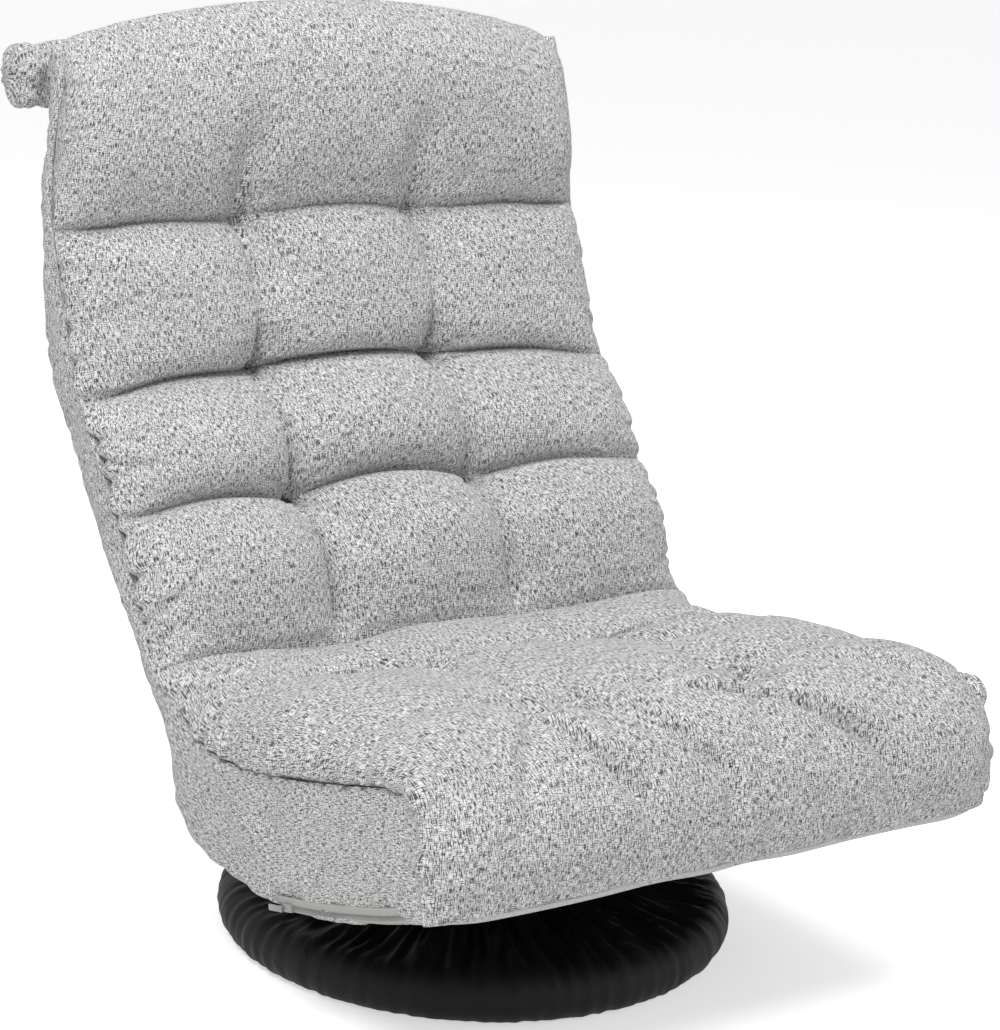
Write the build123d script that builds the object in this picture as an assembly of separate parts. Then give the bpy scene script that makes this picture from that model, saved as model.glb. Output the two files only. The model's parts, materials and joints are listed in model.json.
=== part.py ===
from build123d import *
from math import cos, hypot, radians, sin, sqrt, tan
import os

# Axes and origin
# X runs across the chair, -Y is its front and +Z is up.
# The origin is on the floor under the swivel axis. Lengths are millimetres, angles degrees.

# Overall sizes
chair_width = 552
cover_cloth = 2
soft_gap = 0.3
metal_gap = 0.3
run_gap = 0.05
overrun = 60
deep_cut = 240

# Base sizes
ring_radius = 201
ring_tube = 25
ring_wall = 2
sleeve_wall = 9.2
base_cloth = 1.5
foot_inner_width = 14
foot_outer_width = 8
hub_height = 70
hub_radius = 70
hub_thickness = 4
arm_width = 25
arm_depth = 16
arm_root = 40
arm_count = 4
collar_gap = 2
collar_rise = 8
cover_sag = 6

# Swivel bearing sizes
race_radius = 68
race_thickness = 6
race_gap = 2
ball_radius = 4
ball_circle = 52
ball_count = 16
pin_radius = 6
pin_head_radius = 10
pin_head = 3
bolt_radius = 3
bolt_head_radius = 4.5
bolt_head = 3
bolt_circle = 62
bolt_count = 4

# Seat sizes, in the seat's own tilted frame
seat_tilt = 10
seat_height = 106
seat_front = 330
seat_rear = 56
seat_front_low = 10
belly_drop = 18.5
belly_forward = 128
belly_front_drop = 9
heel_forward = 19
heel_drop = 3
heel_height = 63
heel_round = 19
rear_turn = 93
rear_peak_back = 80.5
rear_peak_height = 137.5
crease_height = 154
crease_back = 58
seam_height = 94
seam_front_height = 106
seam_mid_forward = 160
seam_low_forward = 67
seam_rise_forward = 5
seam_rise_height = 102
flange = 18
seam_opening = 6
hinge_slot_room = 2
window_rear = 36
window_top = 25

# Seat padding sizes
foam_base = 45.6
foam_top = 96
tuft_column = 93
tuft_height = 129
channel_height = 143
tuft_rear_forward = 46
tuft_front_forward = 242
seat_crest = 157
crown_lead = 0.8
seat_edge_height = 128
dimple_radius = 42
dimple_turn = 4
front_crest = 146
front_crest_forward = 300
brow_forward = 346
brow_height = 108
nose_forward = 363
nose_height = 58
hem_forward = 343
hem_height = 9
side_draw = 5

# Seat frame sizes
seat_tube = 22
seat_tube_wall = 1.5
hinge_room = 31
seat_tube_height = 32
seat_tube_front = 300
seat_tube_bend = 60
post_start = 62
post_turn = 10
post_end_back = 12
post_end_height = 66
post_bend = 40
rail_height = 20
rail_width = 24
rail_front = 85
rail_rear = -5
bracket_width = 160
bracket_plate = 3
bracket_wall = 4
bracket_front = 92
bracket_rear = 24
bracket_tongue = 72
bracket_lip = 3
strap_width = 40
strap_thickness = 2
strap_count = 4
strap_first = 100
strap_pitch = 55
post_pocket_room = 14
post_pocket_forward = 68

# Back hinge sizes, in the seat's frame
back_axis_back = 28
back_axis_height = 90
back_lean = 38.8
back_length = 359
knuckle_radius = 71
knuckle_gap = 1
cheek_radius = 26
cheek_thickness = 4
outer_cheek_thickness = 2.5
arm_plate = 5
plate_gap = 0.3
foot_radius = 11
foot_back = 6
foot_height = 42
rivet_radius = 5
rivet_head_radius = 8
rivet_head = 3
tooth_root = 21
tooth_tip = 24
tooth_count = 40
tooth_lean_share = 5 / 6
arm_end = 130
arm_strip_half = 10
arm_strip_depth = 7
pawl_pivot_angle = 232
pawl_pivot_distance = 36
pawl_radius = 5
pawl_tip_angle = 262
pawl_clearance = 0.6
pawl_tip_radius = 2
pawl_pin_radius = 2.5
pawl_boss_radius = 7.5
leaf_thickness = 1
leaf_length = 16

# Back sizes, in the back's own leaning frame
back_tube = 19
back_tube_wall = 1.5
back_tube_depth = 8
back_tube_start = 76
back_tube_short = 47
cross_tube = 16
cross_low = 86
cross_short = 56
back_foam_low = 98
back_foam_short = 71
back_foam_front = 4
back_foam_rear = 12
back_foam_side_gap = 3.3
back_strap_first = 130
back_strap_pitch = 45
back_rear_low = 24
back_rear_mid = 31
back_rear_high = 25
back_seam_low = 4.4
back_seam_mid = 20.6
back_seam_high = 23
seam_mid_drop = 110
back_crest = 52
back_channel = 30
back_valley = 12
back_row = 18
back_edge = 30
crease_valley = 9
crease_tuck = 15
tuft_back_drop = 139
tuft_neck_drop = 31
neck_valley = 16

# Head sizes, in the headrest's own frame
head_lean = 8
head_socket = 41
head_knuckle = 40
head_rear = 29
head_foam_front = 2
head_foam_low = 14
head_foam_high = 212
head_foam_side_gap = 22.6
head_tube = 16
head_tube_wall = 1.5
head_tube_depth = 15
head_tube_low = 34
head_tube_top = 230
head_tube_bend = 40
head_cover_top = 240
head_seam_low = 15
head_seam_mid = -2
head_seam_mid_height = 140
head_seam_high = 8
head_tuft_height = 119
head_tuft_valley = 8
pillow_crest = 38
pillow_crest_height = 178
pillow_brow = 14
pillow_brow_height = 268
pillow_top = 308
pillow_side_top = 280
pillow_top_back = 12
pillow_back_height = 275
pillow_edge = 8
neck_crest = 48
neck_crown = 50
neck_low = 60
neck_heel = 15
neck_slot_radius = 25
roll_height = 254
roll_radius = 28.5
roll_end_radius = 21
roll_shoulder = 24
roll_nub = 12
head_plate = 3
head_plate_radius = 18
head_arm_plate = 4
head_rivet_radius = 4
head_rivet_head_radius = 6
head_tooth_root = 14
head_tooth_tip = 16.5
head_tooth_count = 30
head_arm_end = 90
head_plate_length = 89

# Zip sizes
zip_width = 14
zip_thickness = 1
zip_front = 322
zip_rear = 128
slider_length = 14
slider_width = 8
slider_height = 4

# Derived sizes
half = chair_width / 2
inner_half = half - cover_cloth
pad_half = inner_half - soft_gap
ring_height = base_cloth + soft_gap + sleeve_wall + ring_tube / 2
sleeve_radius = ring_tube / 2 + sleeve_wall
rim_radius = sleeve_radius + soft_gap + base_cloth
lower_race_base = hub_height + hub_thickness
upper_race_base = lower_race_base + race_thickness + race_gap
bracket_base = upper_race_base + race_thickness
seat_tube_top = seat_tube_height + seat_tube / 2
seat_tube_half = half - hinge_room
post_pocket_inner = seat_tube_half - post_pocket_room
cheek_inner = seat_tube_half + seat_tube / 2 + plate_gap
arm_inner = cheek_inner + cheek_thickness + plate_gap
outer_cheek_inner = arm_inner + arm_plate + plate_gap
outer_cheek_face = outer_cheek_inner + outer_cheek_thickness
back_tube_half = arm_inner - plate_gap - back_tube / 2
back_tube_end = back_length - back_tube_short
cross_high = back_length - cross_short
back_foam_high = back_length - back_foam_short
back_foam_half = back_tube_half - back_tube / 2 - back_foam_side_gap
back_seam_mid_height = back_length - seam_mid_drop
tuft_back_height = back_length - tuft_back_drop
tuft_neck_height = back_length - tuft_neck_drop
head_plate_start = back_length - head_plate_length
head_plate_inner = back_tube_half + back_tube / 2 + plate_gap
head_arm_inner = head_plate_inner + head_plate + plate_gap
head_tube_half = head_arm_inner - plate_gap - head_tube / 2
head_slot_inner = head_tube_half - head_tube
head_foam_half = head_tube_half - head_tube / 2 - head_foam_side_gap
roll_depth = head_rear + soft_gap + roll_radius
slot_inner = cheek_inner - rivet_head - plate_gap
slot_outer = outer_cheek_face + rivet_head + plate_gap
socket_radius = knuckle_radius + knuckle_gap
hinge_slot_low = back_axis_height - arm_strip_depth - arm_strip_half - hinge_slot_room

seat_place = Pos(0, 0, seat_height) * Rot(-seat_tilt, 0, 0)
back_place = (
    seat_place
    * Pos(0, back_axis_back, back_axis_height)
    * Rot(seat_tilt - back_lean, 0, 0)
)
head_place = back_place * Pos(0, 0, back_length) * Rot(back_lean - head_lean, 0, 0)


def profile(start, *steps):
    """Closed face. A step is an end point, or a pair of points for an arc through the first."""
    edges = []
    here = start
    for step in steps:
        if isinstance(step[0], tuple):
            edges.append(ThreePointArc(here, step[0], step[1]))
            here = step[1]
        else:
            edges.append(Line(here, step))
            here = step
    if here != start:
        edges.append(Line(here, start))
    return make_face(edges)


def across(face, half_width):
    """Side view face, drawn as back against height, made as wide as the chair needs."""
    return extrude(Plane.YZ * face, half_width, both=True)


def slab(x_low, x_high, y_low, y_high, z_low, z_high):
    """Box between its corner coordinates."""
    centre = Pos((x_low + x_high) / 2, (y_low + y_high) / 2, (z_low + z_high) / 2)
    return centre * Box(x_high - x_low, y_high - y_low, z_high - z_low)


def rod_x(x_low, x_high, y, z, radius):
    """Cylinder along X between two stations."""
    middle = Pos((x_low + x_high) / 2, y, z)
    return middle * Rot(0, 90, 0) * Cylinder(radius, x_high - x_low)


def polar(distance, angle):
    """Point at a distance and an angle from the hinge axis, as back and height."""
    return (distance * cos(radians(angle)), distance * sin(radians(angle)))


def on_socket(depth, radius):
    """Height at which a given depth meets the circle round the hinge axis."""
    return sqrt(radius * radius - depth * depth)


def pair(maker):
    """Left and right copies of one maker that takes the side's sign."""
    return Part() + [maker(-1), maker(1)]


def bowed(start, end, rise):
    """Arc step from start to end whose middle stands off the chord by rise, on its left."""
    run = end[0] - start[0]
    climb = end[1] - start[1]
    chord = hypot(run, climb)
    middle = (
        (start[0] + end[0]) / 2 - rise * climb / chord,
        (start[1] + end[1]) / 2 + rise * run / chord,
    )
    return (middle, end)


def drawn_plan(stations, half_width, draw):
    """Plan of a pad whose sides are drawn in by draw at each seam station."""
    left = [(-half_width + draw, station) for station in stations]
    right = [(half_width - draw, station) for station in reversed(stations)]
    steps = []
    for start, end in zip(left, left[1:]):
        steps.append(bowed(start, end, draw))
    steps.append(right[0])
    for start, end in zip(right, right[1:]):
        steps.append(bowed(start, end, draw))
    return profile(left[0], *steps)


def quilt_section(base, valley, crest, edge, edge_half):
    """Cross-section of three pads side by side, between channels at the tuft columns."""
    shoulder = (edge_half + tuft_column) / 2
    return profile(
        (-edge_half, base),
        (-edge_half, edge),
        ((-shoulder, crest), (-tuft_column, valley)),
        ((0, crest), (tuft_column, valley)),
        ((shoulder, crest), (edge_half, edge)),
        (edge_half, base),
    )


def tuft_funnel(depth):
    """Hollow that a sewn tuft draws into a pad, round Z with its lowest point at the origin."""
    outline = profile(
        (0, 0),
        ((dimple_radius / 2 - dimple_turn / 2, depth / 2 + dimple_turn / 2), (dimple_radius, depth)),
        (dimple_radius, depth + overrun),
        (0, depth + overrun),
    )
    return revolve(Plane.XZ * outline, Axis.Z)


# Base

def make_base_ring():
    section = Circle(ring_tube / 2) - Circle(ring_tube / 2 - ring_wall)
    turned = Plane.XZ * Pos(ring_radius, ring_height) * section
    return revolve(turned, Axis.Z)


def arm_blank():
    """One arm, from under the hub plate down to a saddle on the ring's inner side."""
    tip = ring_radius - ring_tube / 4
    low = ring_height - arm_depth / 2
    high = ring_height + arm_depth / 2
    top = hub_height
    face = profile(
        (arm_root, top - arm_depth),
        (tip, low),
        (tip, high),
        (hub_radius - metal_gap, top),
        (arm_root, top),
    )
    saddle = Plane.XZ * Pos(ring_radius, ring_height) * Circle(ring_tube / 2 + metal_gap)
    return extrude(Plane.XZ * face, arm_width / 2, both=True) - revolve(saddle, Axis.Z)


def make_base_arms():
    turns = [360 * number / arm_count for number in range(arm_count)]
    return Part() + [Rot(0, 0, turn + 45) * arm_blank() for turn in turns]


def make_base_sleeve():
    section = Circle(sleeve_radius) - Circle(ring_tube / 2 + soft_gap)
    sleeve = revolve(Plane.XZ * Pos(ring_radius, ring_height) * section, Axis.Z)
    notch = slab(
        ring_radius - sleeve_radius - soft_gap * 2,
        ring_radius,
        -arm_width / 2 - soft_gap,
        arm_width / 2 + soft_gap,
        ring_height - arm_depth / 2 - soft_gap * 2,
        ring_height + sleeve_radius + soft_gap,
    )
    turns = [360 * number / arm_count for number in range(arm_count)]
    return sleeve - [Rot(0, 0, turn + 45) * notch for turn in turns]


def cover_outline(inset):
    """Half outline of the base cover from the inner foot edge to the collar, inset by a cloth."""
    rim = rim_radius - inset
    corner = rim * cos(radians(45)) + inset / 2
    collar = hub_radius + collar_gap + base_cloth - inset
    collar_top = lower_race_base + collar_rise
    start = (ring_radius - foot_inner_width, inset)
    heel = (ring_radius + foot_outer_width, inset)
    side = (ring_radius + rim, ring_height)
    crown = (ring_radius, ring_height + rim)
    neck = (collar, collar_top - base_cloth)
    middle = ((crown[0] + neck[0]) / 2, (crown[1] + neck[1]) / 2 - cover_sag)
    return [
        start,
        heel,
        ((ring_radius + corner, ring_height - corner), side),
        ((ring_radius + rim * cos(radians(45)), ring_height + rim * sin(radians(45))), crown),
        (middle, neck),
        (collar, collar_top),
    ]


def make_base_cover():
    outer = cover_outline(0)
    inner = cover_outline(base_cloth)
    bottom = (ring_radius - foot_inner_width, -overrun)
    axis_low = (0, -overrun)
    axis_high = (0, lower_race_base + collar_rise)
    outer_face = profile(outer[0], *outer[1:], axis_high, axis_low, bottom)
    inner_face = profile(inner[0], *inner[1:], axis_high, axis_low, bottom)
    return revolve(Plane.XZ * (outer_face - inner_face), Axis.Z)


def make_hub_plate():
    plate = Pos(0, 0, hub_height + hub_thickness / 2) * Cylinder(hub_radius, hub_thickness)
    plate -= Pos(0, 0, hub_height) * Cylinder(pin_radius + run_gap, overrun)
    return plate - bolt_ring(bolt_radius + run_gap, 0, deep_cut, 0)


def bolt_ring(radius, low, high, turn):
    """Cylinders at the bolt circle, between two heights."""
    places = [
        Rot(0, 0, 360 * number / bolt_count + turn) * Pos(bolt_circle, 0, (low + high) / 2)
        for number in range(bolt_count)
    ]
    return Part() + [place * Cylinder(radius, high - low) for place in places]


def race(base, groove_height):
    disc = Pos(0, 0, base + race_thickness / 2) * Cylinder(race_radius, race_thickness)
    disc -= Pos(0, 0, base) * Cylinder(pin_radius + run_gap, overrun)
    groove = Plane.XZ * Pos(ball_circle, groove_height) * Circle(ball_radius + run_gap * 2)
    return disc - revolve(groove, Axis.Z)


def ball_height():
    return lower_race_base + race_thickness + race_gap / 2


def make_lower_race():
    disc = race(lower_race_base, ball_height())
    return disc - bolt_ring(bolt_radius + run_gap, 0, deep_cut, 0)


def make_upper_race():
    disc = race(upper_race_base, ball_height())
    return disc - bolt_ring(bolt_radius + run_gap, 0, deep_cut, 45)


def make_balls():
    turns = [360 * number / ball_count for number in range(ball_count)]
    place = Pos(ball_circle, 0, ball_height())
    return Part() + [Rot(0, 0, turn) * place * Sphere(ball_radius) for turn in turns]


def make_swivel_pin():
    low = hub_height - pin_head
    high = bracket_base
    shaft = Pos(0, 0, (low + high) / 2) * Cylinder(pin_radius, high - low)
    return shaft + Pos(0, 0, high + pin_head / 2) * Cylinder(pin_head_radius, pin_head)


def make_swivel_nut():
    low = hub_height - pin_head
    nut = extrude(Pos(0, 0, low) * RegularPolygon(pin_head_radius, 6), pin_head)
    return nut - Pos(0, 0, low) * Cylinder(pin_radius + run_gap, overrun)


def make_hub_rivets():
    top = lower_race_base + race_thickness
    shafts = bolt_ring(bolt_radius, hub_height, top, 0)
    return shafts + bolt_ring(bolt_head_radius, hub_height - bolt_head, hub_height, 0)


def make_bracket_bolts():
    top = bracket_base + bracket_plate
    shafts = bolt_ring(bolt_radius, upper_race_base, top, 45)
    return shafts + bolt_ring(bolt_head_radius, top, top + bolt_head, 45)


# Seat

def plane_height(y, rise):
    """World height at y of the seat-frame plane that stands rise above the seat's datum."""
    return seat_height - y * tan(radians(seat_tilt)) + rise / cos(radians(seat_tilt))


def make_swivel_bracket():
    top = bracket_base + bracket_plate
    rail_base = seat_tube_height - rail_height / 2
    plate = slab(
        -bracket_width / 2, bracket_width / 2, -bracket_front, bracket_tongue, bracket_base, top
    )
    wall = profile(
        (-bracket_front, bracket_base),
        (bracket_tongue, bracket_base),
        (bracket_tongue, top + bracket_lip),
        (bracket_rear, plane_height(bracket_rear, rail_base)),
        (-bracket_front, plane_height(-bracket_front, rail_base)),
    )
    walls = across(wall, bracket_width / 2) - across(wall, bracket_width / 2 - bracket_wall)
    bracket = plate + walls
    bracket -= Pos(0, 0, top) * Cylinder(pin_head_radius + metal_gap, bracket_wall * 2)
    return bracket - bolt_ring(bolt_radius + run_gap, 0, top, 45)


def tube_section(radius, wall):
    return Circle(radius) - Circle(radius - wall)


def make_seat_frame():
    path = FilletPolyline(
        (-seat_tube_half, -post_start, seat_tube_height),
        (-seat_tube_half, -seat_tube_front, seat_tube_height),
        (seat_tube_half, -seat_tube_front, seat_tube_height),
        (seat_tube_half, -post_start, seat_tube_height),
        radius=seat_tube_bend,
    )
    start = Plane(path @ 0, z_dir=path % 0)
    return sweep(start * tube_section(seat_tube / 2, seat_tube_wall), path)


def make_post(side):
    x = side * seat_tube_half
    path = FilletPolyline(
        (x, -post_start + metal_gap, seat_tube_height),
        (x, -post_turn, seat_tube_height),
        (x, post_end_back, post_end_height),
        radius=post_bend,
    )
    start = Plane(path @ 0, z_dir=path % 0)
    return sweep(start * tube_section(seat_tube / 2, seat_tube_wall), path)


def make_rails():
    reach = seat_tube_half - seat_tube / 2 - metal_gap
    low = seat_tube_height - rail_height / 2
    high = seat_tube_height + rail_height / 2
    rails = []
    for forward in (rail_front, rail_rear):
        near = -forward - rail_width / 2
        rails.append(slab(-reach, reach, near, near + rail_width, low, high))
    return Part() + rails


def make_seat_webbing():
    straps = []
    for number in range(strap_count):
        centre = -strap_first - strap_pitch * number
        straps.append(
            slab(
                -seat_tube_half,
                seat_tube_half,
                centre - strap_width / 2,
                centre + strap_width / 2,
                seat_tube_top + soft_gap,
                seat_tube_top + soft_gap + strap_thickness,
            )
        )
    return Part() + straps


def make_seat_foam():
    inside = cover_cloth + soft_gap
    side_view = profile(
        (-seat_front + inside, foam_base),
        (seat_rear - heel_round / 2 - inside, foam_base),
        (seat_rear - inside, heel_height + inside),
        (seat_rear - inside, foam_top),
        (-seat_front + inside, foam_top),
    )
    foam = across(side_view, pad_half)
    for side in (-1, 1):
        edge = sorted((side * post_pocket_inner, side * half))
        foam -= slab(edge[0], edge[1], -post_pocket_forward, overrun, 0, foam_top + overrun)
    return foam


def seat_outline():
    """Side view of the seat cover: belly, heel, rear rise, knuckle and topper seam."""
    crease = (crease_back, crease_height)
    peak = (rear_peak_back, rear_peak_height)
    knuckle_mid = polar(knuckle_radius, 54)
    return profile(
        (-seat_front, seat_front_low),
        (
            (-(seat_front + belly_forward) / 2, -belly_front_drop),
            (-belly_forward, -belly_drop),
        ),
        (-heel_forward, -heel_drop),
        (
            (seat_rear - heel_round, heel_height / 2 - heel_drop),
            (seat_rear, heel_height),
        ),
        (seat_rear, rear_turn),
        peak,
        (
            (back_axis_back + knuckle_mid[0], back_axis_height + knuckle_mid[1]),
            crease,
        ),
        (-seam_rise_forward, seam_rise_height),
        (-seam_low_forward, seam_height),
        (-seam_mid_forward, seam_height),
        (-seat_front, seam_front_height),
    )


def seat_shell():
    """Closed cloth box of the seat, open along its topper seam."""
    outline = seat_outline()
    lining = offset(outline, -cover_cloth)
    shell = across(outline, half) - across(lining, inner_half)
    shell -= across(Pos(0, seam_opening) * lining, inner_half)
    shell -= slab(
        -inner_half, inner_half, -seat_front - overrun, -seat_front + cover_cloth * 2,
        foam_top, foam_top + overrun,
    )
    for side in (-1, 1):
        edge = sorted((side * slot_inner, side * slot_outer))
        shell -= slab(edge[0], edge[1], 0, seat_rear + overrun, hinge_slot_low, deep_cut)
    return shell


def bracket_window():
    """Opening under the seat for the swivel bracket."""
    side = bracket_width / 2 + bracket_wall
    return slab(
        -side, side, -bracket_front - bracket_wall, window_rear,
        -overrun, seat_tube_height,
    )


def bottom_window(shrink):
    """Opening in the seat cover's underside, which the dust cover closes."""
    side = half - flange - shrink
    return slab(
        -side, side, -seat_front + flange + shrink, -shrink,
        -overrun, window_top,
    )


def make_seat_cover():
    return seat_shell() - bottom_window(0) - bracket_window()


def make_dust_cover():
    return (seat_shell() & bottom_window(soft_gap)) - bracket_window()


def make_seat_topper():
    lip = -seat_front - soft_gap
    rear = seat_rear - cover_cloth - soft_gap
    crease = (rear, crease_height)
    rear_seam = (-tuft_rear_forward, channel_height)
    front_seam = (-tuft_front_forward, channel_height)
    foam_line = foam_top + soft_gap
    side_view = profile(
        (lip, hem_height),
        (lip, foam_line),
        (rear, foam_line),
        crease,
        ((back_axis_back / 2 - tuft_rear_forward / 2 + seam_rise_forward, seat_crest), rear_seam),
        (((rear_seam[0] + front_seam[0]) / 2, seat_crest), front_seam),
        ((-front_crest_forward, front_crest), (-brow_forward, brow_height)),
        ((-nose_forward, nose_height), (-hem_forward, hem_height)),
    )
    section = quilt_section(
        0, channel_height, seat_crest + crown_lead, seat_edge_height, pad_half
    )
    stations = [-nose_forward - soft_gap, -tuft_front_forward, -tuft_rear_forward, rear + soft_gap]
    plan = drawn_plan(stations, pad_half, side_draw)
    topper = across(side_view, pad_half)
    lengthwise = extrude(Plane.XZ * section, nose_forward + seat_rear + overrun, both=True)
    upright = extrude(plan, seat_crest + overrun)
    topper = topper & lengthwise & upright
    for forward in (tuft_rear_forward, tuft_front_forward):
        for column in (-tuft_column, tuft_column):
            topper -= Pos(column, -forward, tuft_height) * tuft_funnel(seat_crest - tuft_height)
    for side in (-1, 1):
        low, high = sorted((side * slot_inner, side * (half + overrun)))
        pocket = socket_radius + knuckle_gap
        topper -= rod_x(low, high, back_axis_back, back_axis_height, pocket)
    return topper


# Back hinges, drawn round the hinge axis in the seat's frame

def hinge_rod(side, inner, outer, centre, radius):
    """Pin along X at one side, between two distances from the middle of the chair."""
    low, high = sorted((side * inner, side * outer))
    return rod_x(low, high, centre[0], centre[1], radius)


def plate_solid(side, inner, thickness, face):
    """Plate in a plane of constant X, drawn as back against height."""
    plane = Plane.YZ.offset(side * inner)
    return extrude(plane * face, side * thickness)


def link_face(first, first_radius, second, second_radius):
    """Outline round two bosses joined by their common tangents."""
    bosses = Pos(*first) * Circle(first_radius) + Pos(*second) * Circle(second_radius)
    return make_hull(bosses.edges())


def cheek_face():
    pivot = (back_axis_back, back_axis_height)
    foot = (foot_back, foot_height)
    face = link_face(pivot, cheek_radius, foot, foot_radius)
    pin = pawl_pivot()
    return face + Pos(*pin) * Circle(pawl_boss_radius)


def pawl_pivot():
    reach = polar(pawl_pivot_distance, pawl_pivot_angle)
    return (back_axis_back + reach[0], back_axis_height + reach[1])


def make_inner_cheek(side):
    plate = plate_solid(side, cheek_inner, cheek_thickness, cheek_face())
    pivot = (back_axis_back, back_axis_height)
    return plate - hinge_rod(side, 0, half, pivot, rivet_radius + run_gap)


def make_outer_cheek(side):
    plate = plate_solid(side, outer_cheek_inner, outer_cheek_thickness, cheek_face())
    pivot = (back_axis_back, back_axis_height)
    return plate - hinge_rod(side, 0, half, pivot, rivet_radius + run_gap)


def make_hinge_rivet(side):
    pivot = (back_axis_back, back_axis_height)
    inner = cheek_inner
    shank = hinge_rod(side, inner, outer_cheek_face, pivot, rivet_radius)
    inside = hinge_rod(side, inner - rivet_head, inner, pivot, rivet_head_radius)
    outside = hinge_rod(
        side, outer_cheek_face, outer_cheek_face + rivet_head, pivot, rivet_head_radius
    )
    return shank + inside + outside


def make_hinge_spacer(side):
    foot = (foot_back, foot_height)
    return hinge_rod(side, cheek_inner + cheek_thickness, outer_cheek_inner, foot, pawl_radius)


def make_pawl(side):
    pivot = pawl_pivot()
    tip_reach = tooth_tip + pawl_clearance + pawl_tip_radius
    tip = polar(tip_reach, pawl_tip_angle)
    nose = (back_axis_back + tip[0], back_axis_height + tip[1])
    face = link_face(pivot, pawl_radius, nose, pawl_tip_radius)
    pawl = plate_solid(side, arm_inner, arm_plate, face)
    return pawl - hinge_rod(side, 0, half, pivot, pawl_pin_radius + run_gap)


def make_pawl_pin(side):
    inner = cheek_inner + cheek_thickness
    return hinge_rod(side, inner, outer_cheek_inner, pawl_pivot(), pawl_pin_radius)


def make_pawl_leaf(side):
    pivot = pawl_pivot()
    top = pivot[1] - pawl_radius - soft_gap
    face = profile(
        (pivot[0] - leaf_length / 2, top),
        (pivot[0] + leaf_length / 2, top),
        (pivot[0] + leaf_length / 2, top - leaf_thickness),
        (pivot[0] - leaf_length / 2, top - leaf_thickness),
    )
    return plate_solid(side, cheek_inner + cheek_thickness, arm_plate + 2 * plate_gap, face)


def toothed_disc(root, tip, count):
    """Ratchet wheel outline with one slanted tooth for each step of its count."""
    points = []
    pitch = 360 / count
    for number in range(count):
        points.append(polar(root, pitch * number))
        points.append(polar(tip, pitch * (number + tooth_lean_share)))
    return profile(points[0], *points[1:])


def ratchet_arm(side, inner, thickness, wheel, end, rise, half_strip, bore):
    """Toothed plate round the origin with a strip running up beside its tube."""
    strip = profile(
        (rise - half_strip, 0),
        (rise + half_strip, 0),
        (rise + half_strip, end),
        (rise - half_strip, end),
    )
    plate = plate_solid(side, inner, thickness, wheel + strip)
    low, high = sorted((0, side * half))
    return plate - rod_x(low, high, 0, 0, bore + run_gap)


# Back, drawn in its own frame with the hinge axis at the origin

def make_back_arm(side):
    wheel = toothed_disc(tooth_root, tooth_tip, tooth_count)
    return ratchet_arm(
        side, arm_inner, arm_plate, wheel, arm_end, arm_strip_depth,
        arm_strip_half, rivet_radius,
    )


def upright_tube(side, x, depth, low, high, radius, wall):
    centre = Pos(side * x, depth, (low + high) / 2)
    return centre * (Cylinder(radius, high - low) - Cylinder(radius - wall, high - low))


def make_back_tube(side):
    return upright_tube(
        side, back_tube_half, back_tube_depth, back_tube_start, back_tube_end,
        back_tube / 2, back_tube_wall,
    )


def make_back_cross_tubes():
    reach = back_tube_half - back_tube / 2 - metal_gap
    tubes = [
        rod_x(-reach, reach, back_tube_depth, height, cross_tube / 2)
        for height in (cross_low, cross_high)
    ]
    return Part() + tubes


def make_back_webbing():
    reach = back_tube_half - back_tube / 2
    low = back_foam_rear + soft_gap
    straps = []
    for number in range(strap_count):
        centre = back_strap_first + back_strap_pitch * number
        near = centre - strap_width / 2
        far = centre + strap_width / 2
        straps.append(slab(-reach, reach, low, low + strap_thickness, near, far))
    return Part() + straps


def make_back_foam():
    return slab(
        -back_foam_half, back_foam_half, -back_foam_front, back_foam_rear,
        back_foam_low, back_foam_high,
    )


def back_outline(inset):
    """Side view of the back's cover, between the seat's knuckle and the headrest's."""
    low_rear = back_rear_low - inset
    mid_rear = back_rear_mid - inset
    high_rear = back_rear_high - inset
    low_radius = socket_radius + inset
    high_radius = head_socket + inset
    low_front = on_socket(back_seam_low, low_radius)
    high_front = back_length - on_socket(back_seam_high, high_radius)
    low_back = on_socket(low_rear, low_radius)
    high_back = back_length - on_socket(high_rear, high_radius)
    return profile(
        (-back_seam_low, low_front),
        ((low_rear / 2, on_socket(low_rear / 2, low_radius)), (low_rear, low_back)),
        ((mid_rear, (low_back + high_back) / 2), (high_rear, high_back)),
        ((0, back_length - high_radius), (-back_seam_high, high_front)),
        (-back_seam_mid, back_seam_mid_height),
    )


def make_back_cover():
    cover = across(back_outline(0), half)
    lining = back_outline(cover_cloth)
    cover -= across(lining, inner_half)
    cover -= slab(-inner_half, inner_half, -overrun, 0, 0, back_length)
    for side in (-1, 1):
        low, high = sorted((side * slot_inner, side * slot_outer))
        cover -= slab(low, high, -overrun, back_tube_depth + arm_strip_half, 0, arm_end)
        cover -= slab(
            low, high, -overrun, back_rear_low - cover_cloth, head_plate_start, back_length
        )
    return cover


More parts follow.
